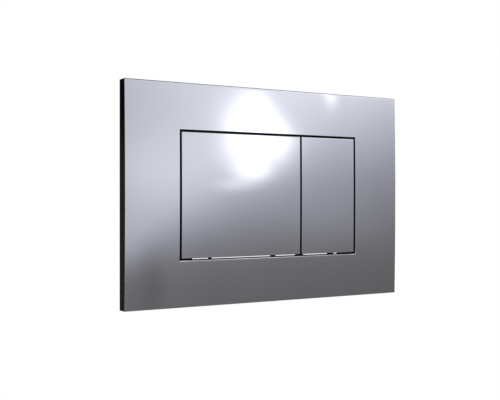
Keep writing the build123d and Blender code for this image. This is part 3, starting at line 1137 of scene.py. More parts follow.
        relief = Relief(*self.cover_lines(half_x, half_z), front, self.wall_hold, back_at, roll_at)
        cover = self.crowned("plated_cover", relief, self.face_wall)
        self.shop.finish(cover, CHROME, WALL_UNIT, "cover_plate")
        back_x, back_z = half_x - self.face_hold, half_z - self.face_hold
        gap_shade_x, gap_shade_z = open_x + self.reach, open_z + self.reach
        self.dress_faces(cover, DULL_CHROME, lambda place: within(place, back_x, back_z))
        # Painted shade: the walls of the opening behind the polished front are dead matt black, so the gaps
        # read dark.
        self.dress_faces(cover, GAP_SHADE_ABS, lambda place: within(place, gap_shade_x, gap_shade_z))

    def dress_faces(self, obj: bpy.types.Object, finish: Finish, chosen: Callable[[Vector], bool]) -> None:
        """Gives some faces of a plated piece a finish other than its own.

        Args:
            obj: the piece.
            finish: what shows there.
            chosen: whether the face with a given middle is one of them.
        """
        obj.data.materials.append(self.shop.material(finish))
        for face in obj.data.polygons:
            if chosen(face.center):
                face.material_index = len(obj.data.materials) - 1

    def hook(self) -> bpy.types.Object:
        """Builds one hook of a cap at X = 0, Z = 0, with its barb upwards.

        Returns:
            The hook.
        """
        half, side = self.hook_thickness / 2, self.hook_width / 2
        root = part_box("cover_plate")[0][1] + self.hook_root
        tip = self.hook_catch + self.hook_barb_length
        outline = (
            (root, -half),
            (root, half),
            (self.hook_catch, half),
            (self.hook_catch, half + self.hook_barb),
            (tip, half - self.hook_thickness / 3),
            (tip, -half),
        )
        bm = bmesh.new()
        left, right = ([bm.verts.new((x, y, z)) for y, z in outline] for x in (-side, side))
        bm.faces.new(left)
        bm.faces.new(right)
        count = len(outline)
        for i in range(count):
            j = (i + 1) % count
            bm.faces.new((left[i], left[j], right[j], right[i]))
        return self.shop.from_bmesh("cap_hook", bm)

    def add_hooks(self, cap: bpy.types.Object, button: Button, ends: tuple[float, float], count: int) -> None:
        """Adds two rows of hooks to a cap.

        Args:
            cap: the cap.
            button: the button that it belongs to.
            ends: the cap's left and right side.
            count: how many hooks stand in each row.
        """
        first, last = ends[0] + self.hook_inset, ends[1] - self.hook_inset
        across = [first + (last - first) * i / (count - 1) for i in range(count)]
        places = [(x, 0.0, z, 0.0 if z > 0 else math.pi) for z in (-self.hook_z, self.hook_z) for x in across]
        hooks = self.shop.copies(f"{button}_cap_hooks", self.hook(), places, CHROME)
        bm = bmesh.new()
        bm.from_mesh(cap.data)
        bm.from_mesh(hooks.data)
        bm.to_mesh(cap.data)
        bm.free()
        bpy.data.objects.remove(hooks)

    def cap(self, button: Button, hooks: int) -> None:
        """Builds one button cap: face, skirt and the hooks that hold it to its rocker.

        Args:
            button: the button that it belongs to.
            hooks: how many hooks it has in each row.
        """
        low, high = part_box(f"{button}_cap")
        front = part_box("cover_plate")[0][1] + self.crown
        skirt_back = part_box(f"{button}_rocker")[0][1] + self.locating_rib

        def back_at(x: float, z: float) -> float:
            """Finds the depth of the back.

            Args:
                x: a place across the cap.
                z: its height.

            Returns:
                The depth there.
            """
            in_x = low[0] + self.skirt_wall < x < high[0] - self.skirt_wall
            in_z = low[2] + self.skirt_wall < z < high[2] - self.skirt_wall
            return front + self.cap_wall if in_x and in_z else skirt_back

        def roll_at(_: float, z: float) -> float:
            """How far the front rolls off at a place: at the top edge."""
            return self.roll(high[2] - z, self.roll_width, self.roll_depth)

        def on_side(place: Vector) -> bool:
            """Whether a place lies on the outside of the skirt, behind the front, where the gap's shade is
            painted.
            """
            sides = [min(place[i] - low[i], high[i] - place[i]) for i in (0, 2)]
            return place.y > front + self.bare_depth and min(sides) < self.reach

        insets = (0.0, self.face_hold, self.skirt_wall)
        x_breaks = [low[0] + inset for inset in insets] + [high[0] - inset for inset in insets]
        z_breaks = [low[2] + inset for inset in insets] + [high[2], high[2] - self.skirt_wall]
        z_breaks += [high[2] - line for line in self.roll_lines(self.roll_width)]
        lines = (rule_lines(x_breaks, self.column), rule_lines(z_breaks, self.row))
        cap = self.crowned(
            f"{button}_plated_cap", Relief(*lines, front, self.wall_hold, back_at, roll_at), self.cap_wall
        )
        self.add_hooks(cap, button, (low[0], high[0]), hooks)
        self.shop.finish(cap, CHROME, f"{button}_button", f"{button}_cap")
        # Painted shade: the skirt's outside behind the polished front is dead matt black, so the gaps read
        # dark.
        self.dress_faces(cap, GAP_SHADE_ABS, on_side)
        self.dress_faces(cap, BLACK_ABS, lambda place: place.y > skirt_back + self.reach)

    def build(self) -> None:
        """Builds the cover plate and both caps."""
        self.cover()
        self.cap(Button.FULL, hooks=3)
        self.cap(Button.HALF, hooks=2)


@dataclass
class Mouldings:
    """The plain moulded parts: carrier, rockers and mounting frame, with their moulded edges softened.

    Small walls behind the gaps, called guards here, leave only a few slits for light from behind.
    """

    shop: Workshop
    edge_radius: float = 0.2 * MM
    edge_steps: int = 2
    flat_angle: float = math.radians(0.6)
    sharp_angle: float = math.radians(40)
    weld: float = 0.002 * MM
    web_clearance: float = 0.1 * MM
    web_front: float = -3.5 * MM
    web_back: float = -1.5 * MM
    web_foot: float = -52.2 * MM
    web_head: float = 53.5 * MM
    sill_top: float = -47.5 * MM
    sill_spans: tuple[tuple[float, float], ...] = (
        (-66.4 * MM, -53.6 * MM),
        (-50.1 * MM, 1.9 * MM),
        (6.9 * MM, 26.0 * MM),
        (33.25 * MM, 56.5 * MM),
        (63.1 * MM, 66.4 * MM),
    )
    lip_x: float = 80.3 * MM
    lip_front: float = -4.4 * MM
    lip_back: float = -3.95 * MM
    lip_foot: float = 46.5 * MM
    lip_head: float = 48.2 * MM
    shade_front: float = -3.8 * MM
    shade_back: float = -1.8 * MM
    shade_foot: float = -46.8 * MM
    shade_head: float = -45.9 * MM

    def copy(self, name: str, node: str) -> bpy.types.Object:
        """Makes a merged copy of a CAD node.

        Args:
            name: the copy's name.
            node: the CAD node.

        Returns:
            The copy.
        """
        bm = bmesh.new()
        bm.from_mesh(self.shop.nodes[node].data)
        bmesh.ops.remove_doubles(bm, verts=bm.verts, dist=self.weld)
        mesh = bpy.data.meshes.new(name)
        bm.to_mesh(mesh)
        bm.free()
        return self.shop.show(name, mesh)

    def add_guards(self, piece: bpy.types.Object, name: str, boxes: Iterable[tuple]) -> None:
        """Joins small walls to a moulding.

        Args:
            piece: the moulding.
            name: what the walls are.
            boxes: the two corners of each wall.
        """
        bm = bmesh.new()
        for low, high in boxes:
            block(bm, low, high)
        self.shop.combine(piece, self.shop.from_bmesh(name, bm), Combine.JOIN)

    def guard_carrier(self, carrier: bpy.types.Object) -> None:
        """Adds a web between the buttons, sills between their feet and a lip in front of the hinge pins.

        Args:
            carrier: the copy of the carrier.
        """
        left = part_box(f"{Button.FULL}_rocker")[1][0] + self.web_clearance
        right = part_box(f"{Button.HALF}_rocker")[0][0] - self.web_clearance
        front, back, foot, head = self.web_front, self.web_back, self.web_foot, self.web_head
        sills = [((x0, front, foot), (x1, back, self.sill_top)) for x0, x1 in self.sill_spans]
        lip = ((-self.lip_x, self.lip_front, self.lip_foot), (self.lip_x, self.lip_back, self.lip_head))
        self.add_guards(carrier, "light_web", [((left, front, foot), (right, back, head))])
        self.add_guards(carrier, "light_sills", sills)
        self.add_guards(carrier, "light_lip", [lip])

    def guard_rocker(self, rocker: bpy.types.Object, button: Button) -> None:
        """Adds a thin shade under the cap, which narrows the slit of light above the sills.

        Args:
            rocker: the copy of the rocker.
            button: the button that it belongs to.
        """
        low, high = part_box(f"{button}_rocker")
        shade = (
            (low[0], self.shade_front, self.shade_foot),
            (high[0], self.shade_back, self.shade_head),
        )
        self.add_guards(rocker, "light_shade", [shade])

    def soften(self, obj: bpy.types.Object, finish: Finish, body: str, node: str) -> None:
        """Rounds the sharp edges of a copy of a CAD node, and dresses it.

        Args:
            obj: the copy.
            finish: what it is moulded from.
            body: the CAD body that it moves with.
            node: the CAD node that it replaces.
        """
        bm = bmesh.new()
        bm.from_mesh(obj.data)
        bmesh.ops.dissolve_limit(bm, angle_limit=self.flat_angle, verts=bm.verts, edges=bm.edges)
        sharp = [edge for edge in bm.edges if edge.calc_face_angle(0.0) > self.sharp_angle]
        bmesh.ops.bevel(
            bm,
            geom=sharp,
            offset=self.edge_radius,
            offset_type="OFFSET",
            segments=self.edge_steps,
            profile=0.5,
            affect="EDGES",
            clamp_overlap=False,
        )
        bm.to_mesh(obj.data)
        bm.free()
        self.shop.finish(self.shop.settle(obj), finish, body, node)

    def build(self) -> None:
        """Builds all the mouldings."""
        carrier = self.copy("moulded_carrier", "button_carrier")
        self.guard_carrier(carrier)
        self.soften(carrier, BLACK_ABS, WALL_UNIT, "button_carrier")
        self.soften(self.copy("moulded_frame", "mounting_frame"), GREY_PP, WALL_UNIT, "mounting_frame")
        for button in Button:
            rocker = self.copy(f"{button}_moulded_rocker", f"{button}_rocker")
            self.guard_rocker(rocker, button)
            self.soften(rocker, BLACK_ABS, f"{button}_button", f"{button}_rocker")


@dataclass
class Fixings:
    """The carrier screws, and the studs and nuts that hold the frame to the cistern."""

    shop: Workshop
    screw_x: float = 98.0 * MM
    screw_z: float = 64.0 * MM
    screw_seat: float = -1.5 * MM
    screw_length: float = 5.5 * MM
    screw_radius: float = 1.45 * MM
    screw_head_radius: float = 2.8 * MM
    screw_head_depth: float = 1.8 * MM
    screw_dome: float = 0.9 * MM
    screw_tip_share: float = 0.6
    screw_tip_length: float = 0.8 * MM
    screw_turns: tuple[float, float] = (0.4, 0.9)
    recess_width: float = 0.75 * MM
    recess_reach: float = 1.7 * MM
    recess_depth: float = 1.1 * MM
    recess_floor_share: float = 0.55
    recess_mouth_share: float = 1.1
    tool_margin: float = 0.2 * MM
    stud_x: float = 95.0 * MM
    stud_front: float = 0.8 * MM
    stud_seat: float = 4.0 * MM
    stud_shank_front: float = 18.0 * MM
    stud_end: float = 52.0 * MM
    stud_radius: float = 4.0 * MM
    stud_shank_radius: float = 3.5 * MM
    stud_head_radius: float = 8.5 * MM
    stud_head_edge: float = 0.8 * MM
    stud_slot_width: float = 1.6 * MM
    stud_slot_depth: float = 1.5 * MM
    stud_tip_length: float = 5.0 * MM
    stud_tip_flats: float = 5.0 * MM
    stud_chamfer: float = 0.6 * MM
    stud_step: float = 0.5 * MM
    stud_pitch: float = 1.5 * MM
    stud_thread_depth: float = 0.55 * MM
    stud_thread_start: float = 0.3 * MM
    stud_run_out: float = 1.0 * MM
    nut_flats: float = 14.0 * MM
    nut_front: float = 9.0 * MM
    nut_back: float = 14.0 * MM
    thread_clearance: float = 0.02 * MM

    def recess(self, top: float) -> bpy.types.Object:
        """Builds the tool that presses a tapered cross into a screw head.

        Args:
            top: where the head ends.

        Returns:
            The tool.
        """
        half, reach = self.recess_width / 2, self.recess_reach
        quarter = [Vector((reach, half)), Vector((half, half)), Vector((half, reach))]
        ring = [Matrix.Rotation(i * math.pi / 2, 2) @ corner for i in range(4) for corner in quarter]
        bm = bmesh.new()
        rows = []
        for share, y in (
            (self.recess_floor_share, top - self.recess_depth),
            (self.recess_mouth_share, top + self.tool_margin),
        ):
            rows.append([bm.verts.new((x * share, y, z * share)) for x, z in ring])
            bm.faces.new(rows[-1])
        for i in range(len(ring)):
            j = (i + 1) % len(ring)
            bm.faces.new((rows[0][i], rows[0][j], rows[1][j], rows[1][i]))
        return self.shop.from_bmesh("recess_tool", bm)

    def screws(self) -> None:
        """Builds the pan head screws with their cross recess."""
        seat, top = self.screw_seat, self.screw_seat + self.screw_head_depth
        tip = seat - self.screw_length
        radius, rim = self.screw_radius, self.screw_head_radius
        dome = [(rim * math.cos(a), top - self.screw_dome * (1 - math.sin(a))) for a in self.arc(6)]
        profile = [
            (0.0, tip),
            (radius * self.screw_tip_share, tip),
            (radius, tip + self.screw_tip_length),
            (radius, seat),
            (rim, seat),
            *dome[:-1],
            (0.0, top),
        ]
        screw = self.shop.from_bmesh("pan_head_screw", turned(profile, steps=32))
        self.shop.combine(screw, self.recess(top), Combine.CUT)
        places = []
        for i in (-1, 1):
            for j in (-1, 1):
                turn = self.screw_turns[0] * i + self.screw_turns[1] * j
                places.append((i * self.screw_x, 0.0, j * self.screw_z, turn))
        screws = self.shop.copies("pan_head_screws", screw, places, ZINC)
        self.shop.finish(screws, ZINC, WALL_UNIT, "carrier_screws")

    @staticmethod
    def arc(count: int) -> list[float]:
        """Angles from nought to a quarter turn."""
        return [math.pi / 2 * i / count for i in range(count + 1)]

    def studs(self) -> None:
        """Builds the two fixing studs: slotted head, thread, shank and flattened tip."""
        front, seat, end = self.stud_front, self.stud_seat, self.stud_end
        head, edge = self.stud_head_radius, self.stud_head_edge
        shank, shank_front = self.stud_shank_radius, self.stud_shank_front
        inner, rim = head - edge, front + edge
        rounding = [(inner + edge * math.sin(a), rim - edge * math.cos(a)) for a in self.arc(4)]
        profile = [
            (0.0, front),
            *rounding,
            (head, seat),
            *thread_rows(seat, shank_front, self.stud_radius, self.stud_pitch),
            (shank, shank_front + self.stud_step),
            (shank, end - self.stud_chamfer),
            (shank - self.stud_chamfer, end),
            (0.0, end),
        ]
        stud = self.shop.from_bmesh("fixing_stud", turned(profile, steps=44))
        self.shop.cut_thread(
            stud,
            self.stud_pitch,
            self.stud_thread_depth,
            (seat + self.stud_thread_start, shank_front),
            self.stud_radius,
            self.stud_run_out,
        )
        bm = bmesh.new()
        wide, half, flat = 2 * head, self.stud_slot_width / 2, self.stud_tip_flats / 2
        block(bm, (-wide, front - wide, -half), (wide, front + self.stud_slot_depth, half))
        for z0, z1 in ((flat, wide), (-wide, -flat)):
            block(bm, (-wide, end - self.stud_tip_length, z0), (wide, end + wide, z1))
        self.shop.combine(stud, self.shop.from_bmesh("slot_tool", bm), Combine.CUT)
        places = [(x, 0.0, 0.0, 0.0) for x in (-self.stud_x, self.stud_x)]
        studs = self.shop.copies("threaded_fixing_studs", stud, places, NYLON)
        self.shop.finish(studs, NYLON, WALL_UNIT, "fixing_studs")

    def nuts(self) -> None:
        """Builds the nuts on the fixing studs."""
        bore = self.stud_radius + self.thread_clearance
        nut = self.shop.from_bmesh("stud_nut", hex_nut(self.nut_flats, bore, self.nut_front, self.nut_back))
        places = [(x, 0.0, 0.0, math.pi / 6) for x in (-self.stud_x, self.stud_x)]
        nuts = self.shop.copies("chamfered_stud_nuts", nut, places, NYLON)
        self.shop.finish(nuts, NYLON, WALL_UNIT, "stud_nuts")

    def build(self) -> None:
        """Builds all the fixings."""
        self.screws()
        self.studs()
        self.nuts()


@dataclass
class PushRods:
    """The push rod of each button, with its domed head, lock nut and collar."""

    shop: Workshop
    rod_x: float = 45.0 * MM
    rod_z: float = -18.0 * MM
    rod_radius: float = 3.0 * MM
    rod_front: float = 3.55 * MM
    rod_end: float = 62.0 * MM
    thread_end: float = 19.0 * MM
    pitch: float = 1.0 * MM
    thread_depth: float = 0.4 * MM
    thread_start: float = 0.2 * MM
    run_out: float = 0.8 * MM
    front_chamfer: float = 0.4 * MM
    end_chamfer: float = 0.5 * MM
    notch_first: float = 36.0 * MM
    notch_spacing: float = 4.0 * MM
    notch_depth: float = 0.35 * MM
    tip: float = 1.5 * MM
    head_back: float = 7.5 * MM
    head_radius: float = 4.5 * MM
    head_chamfer: float = 0.3 * MM
    shoulder: float = 0.35 * MM
    dome_radius: float = 16.0 * MM
    dome_steps: int = 6
    socket_floor: float = 3.5 * MM
    nut_flats: float = 10.0 * MM
    nut_back: float = 10.5 * MM
    collar_front: float = 29.45 * MM
    collar_back: float = 30.95 * MM
    collar_overlap: float = 0.3 * MM
    thread_clearance: float = 0.02 * MM
    flute_depth: float = 0.3 * MM
    flute_run_out: float = 0.5 * MM
    flute_margin: float = 0.4 * MM
    flutes: int = 14

    def rod(self, name: str, place: list[tuple]) -> bpy.types.Object:
        """Builds a push rod with a thread for its head and break-off notches along its end.

        Args:
            name: the rod's name.
            place: X, Y, Z and turn about Y of the rod, in a list.

        Returns:
            The rod.
        """
        radius, front, end = self.rod_radius, self.rod_front, self.rod_end
        profile = [(0.0, front), (radius - self.front_chamfer, front)]
        profile += thread_rows(front + self.front_chamfer, self.thread_end, radius, self.pitch)
        notch, half = self.notch_first, self.notch_depth
        while notch < end - self.notch_spacing:
            profile += [(radius, notch - half), (radius - self.notch_depth, notch), (radius, notch + half)]
            notch += self.notch_spacing
        profile += [(radius, end - self.end_chamfer), (radius - self.end_chamfer, end), (0.0, end)]
        rod = self.shop.from_bmesh("push_rod", turned(profile, steps=36))
        thread = (front + self.thread_start, self.thread_end)
        self.shop.cut_thread(rod, self.pitch, self.thread_depth, thread, radius, self.run_out)
        collar = hex_nut(self.nut_flats, radius - self.collar_overlap, self.collar_front, self.collar_back)
        self.shop.combine(rod, self.shop.from_bmesh("collar", collar), Combine.JOIN)
        return self.shop.copies(name, rod, place, NYLON)

    def head(self) -> bpy.types.Object:
        """Builds a domed, fluted rod head with the socket for its rod.

        Returns:
            The head.
        """
        rise, back = self.dome_radius, self.head_back
        outside, rim = self.head_radius, self.head_radius - self.head_chamfer
        dome = []
        for i in range(self.dome_steps + 1):
            radius = rim * i / self.dome_steps
            dome.append((radius, self.tip + rise - math.sqrt(rise**2 - radius**2)))
        first, last = dome[-1][1] + self.shoulder, back - self.flute_margin
        bore = self.rod_radius + self.thread_clearance
        profile = [
            *dome,
            (outside, first, 0.0),
            (outside, first + self.flute_run_out, self.flute_depth),
            (outside, last - self.flute_run_out, self.flute_depth),
            (outside, last, 0.0),
            (rim, back),
            (bore, back),
            (bore, self.socket_floor),
            (0.0, self.socket_floor),
        ]
        return self.shop.from_bmesh("rod_head", turned(profile, steps=84, lobes=self.flutes))

    def build(self) -> None:
        """Builds both rods with their heads and lock nuts."""
        bore = self.rod_radius + self.thread_clearance
        for button, x in ((Button.FULL, -self.rod_x), (Button.HALF, self.rod_x)):
            body = f"{button}_rod"
            place = [(x, 0.0, self.rod_z, math.pi / 6)]
            rod = self.rod(f"{button}_threaded_rod", place)
            self.shop.finish(rod, NYLON, body, f"{button}_push_rod")
            head = self.shop.copies(f"{button}_fluted_head", self.head(), place, ACETAL)
            self.shop.finish(head, ACETAL, body, f"{button}_rod_head")
            blank = hex_nut(self.nut_flats, bore, self.head_back, self.nut_back)
            lock_nut = self.shop.from_bmesh("lock_nut", blank)
            nut = self.shop.copies(f"{button}_lock_nut", lock_nut, place, ACETAL)
            self.shop.finish(nut, ACETAL, body, f"{button}_rod_nut")


@dataclass
class Hinges:
    """The hinge pins, return springs and rubber buffers of both buttons."""

    shop: Workshop
    pin_chamfer: float = 0.3 * MM
    spring_width: float = 8.0 * MM
    spring_thickness: float = 0.5 * MM
    spring_bend: float = 1.8 * MM
    spring_lean: float = 2.0 * MM
    spring_bend_z: float = 34.0 * MM
    spring_toe_y: float = 0.65 * MM
    spring_toe_z: float = 24.0 * MM
    spring_curl: float = 1.5 * MM
    spring_hook: float = 2.2 * MM
    spring_held: float = 4.0 * MM
    buffer_rounding: float = 0.3 * MM
    buffer_steps: int = 3
    full_pads: tuple[float, float] = (9.0 * MM, 3.2 * MM)
    half_pads: tuple[float, float] = (5.2 * MM, 9.0 * MM)

    def pin(self, button: Button) -> None:
        """Builds a hinge pin with chamfered ends.

        Args:
            button: the button that turns on it.
        """
        low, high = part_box(f"{button}_hinge_pin")
        radius = (high[2] - low[2]) / 2
        edge = self.pin_chamfer
        length = high[0] - low[0]
        profile = [
            (0.0, 0.0),
            (radius - edge, 0.0),
            (radius, edge),
            (radius, length - edge),
            (radius - edge, length),
            (0.0, length),
        ]
        bm = turned(profile, steps=32)
        across = Matrix(((0, 1, 0), (-1, 0, 0), (0, 0, 1)))
        middle = Vector((low[0], (low[1] + high[1]) / 2, (low[2] + high[2]) / 2))
        for vert in bm.verts:
            vert.co = across @ vert.co + middle
        pin = self.shop.settle(self.shop.from_bmesh(f"{button}_drawn_pin", bm))
        self.shop.finish(pin, STAINLESS, WALL_UNIT, f"{button}_hinge_pin")

    def spring(self, node: str, button: Button) -> None:
        """Builds a leaf spring that bends between the carrier and the rocker.

        Args:
            node: the spring's CAD node.
            button: the button that it pushes back; not used.
        """
        low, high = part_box(node)
        x = (low[0] + high[0]) / 2
        half = self.spring_thickness / 2
        lean, toe = self.spring_lean + half, self.spring_toe_y + half
        head = high[2] - half
        path = [
            (lean - self.spring_hook, head),
            (lean, head),
            (lean, self.spring_bend_z),
            (toe, self.spring_toe_z),
            (toe + self.spring_curl, low[2]),
        ]
        mesh = bpy.data.meshes.new(node)
        mesh.from_pydata([(x, y, z) for y, z in path], [(i, i + 1) for i in range(len(path) - 1)], [])
        spring = self.shop.show(f"{node}_leaf", mesh)
        values = {
            "Width": self.spring_width,
            "Thickness": self.spring_thickness,
            "Bend Radius": self.spring_bend,
            "Finish": self.shop.material(SPRING_STEEL),
        }
        self.shop.run_tree(spring, self.shop.strip_tree(), values)
        self.shop.settle(spring)
        self.shop.finish(spring, SPRING_STEEL, None, node)
        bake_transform(spring)

    def buffers(self, button: Button, lengths: tuple[float, float]) -> None:
        """Builds the rubber pads between a rocker and the collar.

        Args:
            button: the button that they stop.
            lengths: the lengths of its left and right pad.
        """
        node = f"{button}_buffers"
        low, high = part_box(node)
        bm = bmesh.new()
        for x0, x1 in ((low[0], low[0] + lengths[0]), (high[0] - lengths[1], high[0])):
            block(bm, (x0, low[1], low[2]), (x1, high[1], high[2]))
        front = [edge for edge in bm.edges if all(vert.co.y < low[1] + TOUCH for vert in edge.verts)]
        bmesh.ops.bevel(
            bm,
            geom=front,
            offset=self.buffer_rounding,
            segments=self.buffer_steps,
            profile=0.5,
            affect="EDGES",
        )
        pads = self.shop.settle(self.shop.from_bmesh(f"{button}_rubber_pads", bm))
        self.shop.finish(pads, RUBBER, f"{button}_button", node)

    def build(self) -> None:
        """Builds the hinge parts of both buttons."""
        for button, springs, pads in (
            (Button.FULL, ("left_spring", "right_spring"), self.full_pads),
            (Button.HALF, ("spring",), self.half_pads),
        ):
            self.pin(button)
            self.buffers(button, pads)
            for spring in springs:
                self.spring(f"{button}_{spring}", button)


def glowing(name: str) -> tuple[bpy.types.Material, bpy.types.Node, dict]:
    """Starts a material that only gives light.

    Args:
        name: the material's name.

    Returns:
        The material, its emission node, and the azimuth in degrees and the height as sockets.
    """
    material = bpy.data.materials.new(name)
    material.use_nodes = True
    tree = material.node_tree
    tree.nodes.remove(tree.nodes["Principled BSDF"])
    glow = add_node(tree, "ShaderNodeEmission")
    tree.links.new(glow.outputs[0], tree.nodes["Material Output"].inputs["Surface"])
    place = add_node(tree, "ShaderNodeTexCoord").outputs["Object"]
    parts = add_node(tree, "ShaderNodeSeparateXYZ", None, {0: place}).outputs
    found = add_sums(
        tree,
        {"x": parts["X"], "y": parts["Y"], "height": parts["Z"]},
        (
            ("front", "MULTIPLY", "y", -1.0),
            ("angle", "ARCTAN2", "x", "front"),
            ("azimuth", "MULTIPLY", "angle", 180 / math.pi),
        ),
    )
    return material, glow, {"azimuth": found["azimuth"], "height": found["height"]}


@dataclass(frozen=True)
class Slope:
    """A value of the front card at its middle, and what each degree to the right adds to it."""

    middle: float
    per_degree: float


@dataclass(frozen=True)
class Spot:
    """A soft light or dark patch on the front card: its strength, place and size in degrees and metres."""

    strength: float
    side: float
    height: float
    wide: float
    tall: float


@dataclass(frozen=True)
class FrontLight:
    """The light of the front card, which the chrome mirrors: pale above, dark below, with a soft window.

    Places are in degrees to the right of the card's middle and in metres of height. The window is the
    room inside its sides, each given by the direction it faces and its distance.
    """

    middle: float = 31.0
    side_ends: tuple[float, float] = (-10.5, 11.5)
    edge: Slope = Slope(0.05, 0.038)
    blur: Slope = Slope(0.31, 0.02)
    dark: Slope = Slope(0.11, -0.002)
    pale: Slope = Slope(0.71, 0.025)
    pale_rise: float = 0.08
    pale_top: float = 0.8
    window_side: float = 0.9
    window_height: float = 0.355
    window_sides: tuple[tuple[float, float], ...] = (
        (180.0, 0.135),
        (135.0, 0.16),
        (30.0, 0.09),
        (-20.0, 0.12),
        (-95.0, 0.135),
    )
    window_strength: float = 0.92
    window_softness: float = 0.5
    window_squareness: float = 6.0
    far_lamp: Spot = Spot(strength=0.5, side=6.5, height=0.58, wide=0.5, tall=0.08)
    window_foot: Spot = Spot(strength=0.7, side=0.0, height=0.15, wide=1.5, tall=0.06)
    streak: Spot = Spot(strength=0.2, side=-1.5, height=0.07, wide=1.5, tall=0.035)
    left_glow: Spot = Spot(strength=0.1, side=-8.0, height=0.15, wide=5.0, tall=0.2)
    right_glow: Spot = Spot(strength=0.04, side=6.0, height=-0.1, wide=5.0, tall=0.15)
    dark_corner: Spot = Spot(strength=-0.03, side=-8.0, height=-0.4, wide=1.0, tall=0.2)
    fade_heights: tuple[float, float] = (0.75, 1.7)
    fade_left: float = 0.06
    tints: tuple[tuple, ...] = (
        (0.1, (1.03, 0.99, 1.02, 1.0)),
        (0.3, (0.98, 0.99, 1.15, 1.0)),
        (0.65, (0.98, 1.0, 1.09, 1.0)),
    )
    mirror_share: float = 0.80

    def add_ground(self, tree: bpy.types.NodeTree, known: dict) -> dict:
        """Adds the pale upper and the dark lower part, with a soft edge that rises to the right.

        Args:
            tree: the material's node tree.
            known: the azimuth and the height.

        Returns:
            The sockets of all results, by name: the light is lit, and aside the degrees to the right.
        """
        left, right = self.side_ends
        return add_sums(
            tree,
            known,
            (
                ("aside", "SUBTRACT", "azimuth", self.middle),
                ("left_held", "MAXIMUM", "aside", left),
                ("side", "MINIMUM", "left_held", right),
                ("edge", "MULTIPLY_ADD", "side", self.edge.per_degree, self.edge.middle),
                ("above", "SUBTRACT", "height", "edge"),
                ("blur", "MULTIPLY_ADD", "side", self.blur.per_degree, self.blur.middle),
                ("steep", "DIVIDE", "above", "blur"),
                ("soft", "TANH", "steep"),
                ("share", "MULTIPLY_ADD", "soft", 0.5, 0.5),
                ("dark", "MULTIPLY_ADD", "side", self.dark.per_degree, self.dark.middle),
                ("pale_side", "MULTIPLY_ADD", "side", self.pale.per_degree, self.pale.middle),
                ("high", "MINIMUM", "height", self.pale_top),
                ("pale", "MULTIPLY_ADD", "high", self.pale_rise, "pale_side"),
                ("span", "SUBTRACT", "pale", "dark"),
                ("lit", "MULTIPLY_ADD", "span", "share", "dark"),
            ),
        )

    def add_window(self, tree: bpy.types.NodeTree, known: dict, radius: float) -> dict:
        """Adds the soft window to the light.

        Args:
            tree: the material's node tree.
            known: the sockets so far, with aside, height and lit.
            radius: the card's radius.

        Returns:
            The sockets with the new lit.
        """
        found = add_sums(
            tree,
            known,
            (
                ("degrees", "SUBTRACT", "aside", self.window_side),
                ("window_x", "MULTIPLY", "degrees", math.radians(radius)),
                ("window_z", "SUBTRACT", "height", self.window_height),
            ),
        )
        found["reach"] = 0.0
        for angle, distance in self.window_sides:
            turn = math.radians(angle)
            found = add_sums(
                tree,
                found,
                (
                    ("across", "MULTIPLY", "window_x", math.cos(turn) / distance),
                    ("out", "MULTIPLY_ADD", "window_z", math.sin(turn) / distance, "across"),
                    ("beyond", "MAXIMUM", "out", 0.0),
                    ("power", "POWER", "beyond", self.window_squareness),
                    ("reach", "ADD", "power", "reach"),
                ),
            )
        return add_sums(
            tree,
            found,
            (
                ("distance", "POWER", "reach", 1 / self.window_squareness),
                ("inside", "MULTIPLY_ADD", "distance", -1 / self.window_softness, 1 / self.window_softness),
                ("softened", "TANH", "inside"),
                ("window", "MULTIPLY_ADD", "softened", self.window_strength / 2, self.window_strength / 2),
                ("lit", "ADD", "lit", "window"),
            ),
        )

    def add_spot(self, tree: bpy.types.NodeTree, known: dict, spot: Spot) -> dict:
        """Adds a soft patch to the light.

        Args:
            tree: the material's node tree.
            known: the sockets so far, with aside, height and lit.
            spot: the patch.

        Returns:
            The sockets with the new lit.
        """
        return add_sums(
            tree,
            known,
            (
                ("spot_x", "SUBTRACT", "aside", spot.side),
                ("spot_z", "SUBTRACT", "height", spot.height),
                ("x_share", "DIVIDE", "spot_x", spot.wide),
                ("z_share", "DIVIDE", "spot_z", spot.tall),
                ("x_squared", "MULTIPLY", "x_share", "x_share"),
                ("squared", "MULTIPLY_ADD", "z_share", "z_share", "x_squared"),
                ("power", "MULTIPLY", "squared", -1.0),
                ("soft", "EXPONENT", "power"),
                ("lit", "MULTIPLY_ADD", "soft", spot.strength, "lit"),
            ),
        )

    def build(self, radius: float) -> bpy.types.Material:
        """Builds the material.

        Args:
            radius: the card's radius.

        Returns:
            The material.
        """
        material, glow, known = glowing("front_card")
        tree = material.node_tree
        found = self.add_window(tree, self.add_ground(tree, known), radius)
        for spot in (
            self.far_lamp,
            self.window_foot,
            self.streak,
            self.left_glow,
            self.right_glow,
            self.dark_corner,
        ):
            found = self.add_spot(tree, found, spot)
        first, last = self.fade_heights
        found["fade"] = add_node(
            tree,
            "ShaderNodeMapRange",
            {"interpolation_type": "SMOOTHSTEP"},
            {0: known["height"], 1: first, 2: last, 3: 1.0, 4: self.fade_left},
        ).outputs[0]
        found = add_sums(
            tree,
            found,
            (("dimmed", "MULTIPLY", "lit", "fade"), ("out", "DIVIDE", "dimmed", self.mirror_share)),
        )
        tint = add_node(tree, "ShaderNodeValToRGB", None, {0: found["dimmed"]})
        stops = tint.color_ramp.elements
        stops[0].position, stops[1].position = self.tints[0][0], self.tints[-1][0]
        for position, _ in self.tints[1:-1]:
            stops.new(position)
        for stop, (_, colour) in zip(stops, self.tints):
            stop.color = colour
        tree.links.new(tint.outputs[0], glow.inputs["Color"])
        tree.links.new(found["out"], glow.inputs["Strength"])
        return material


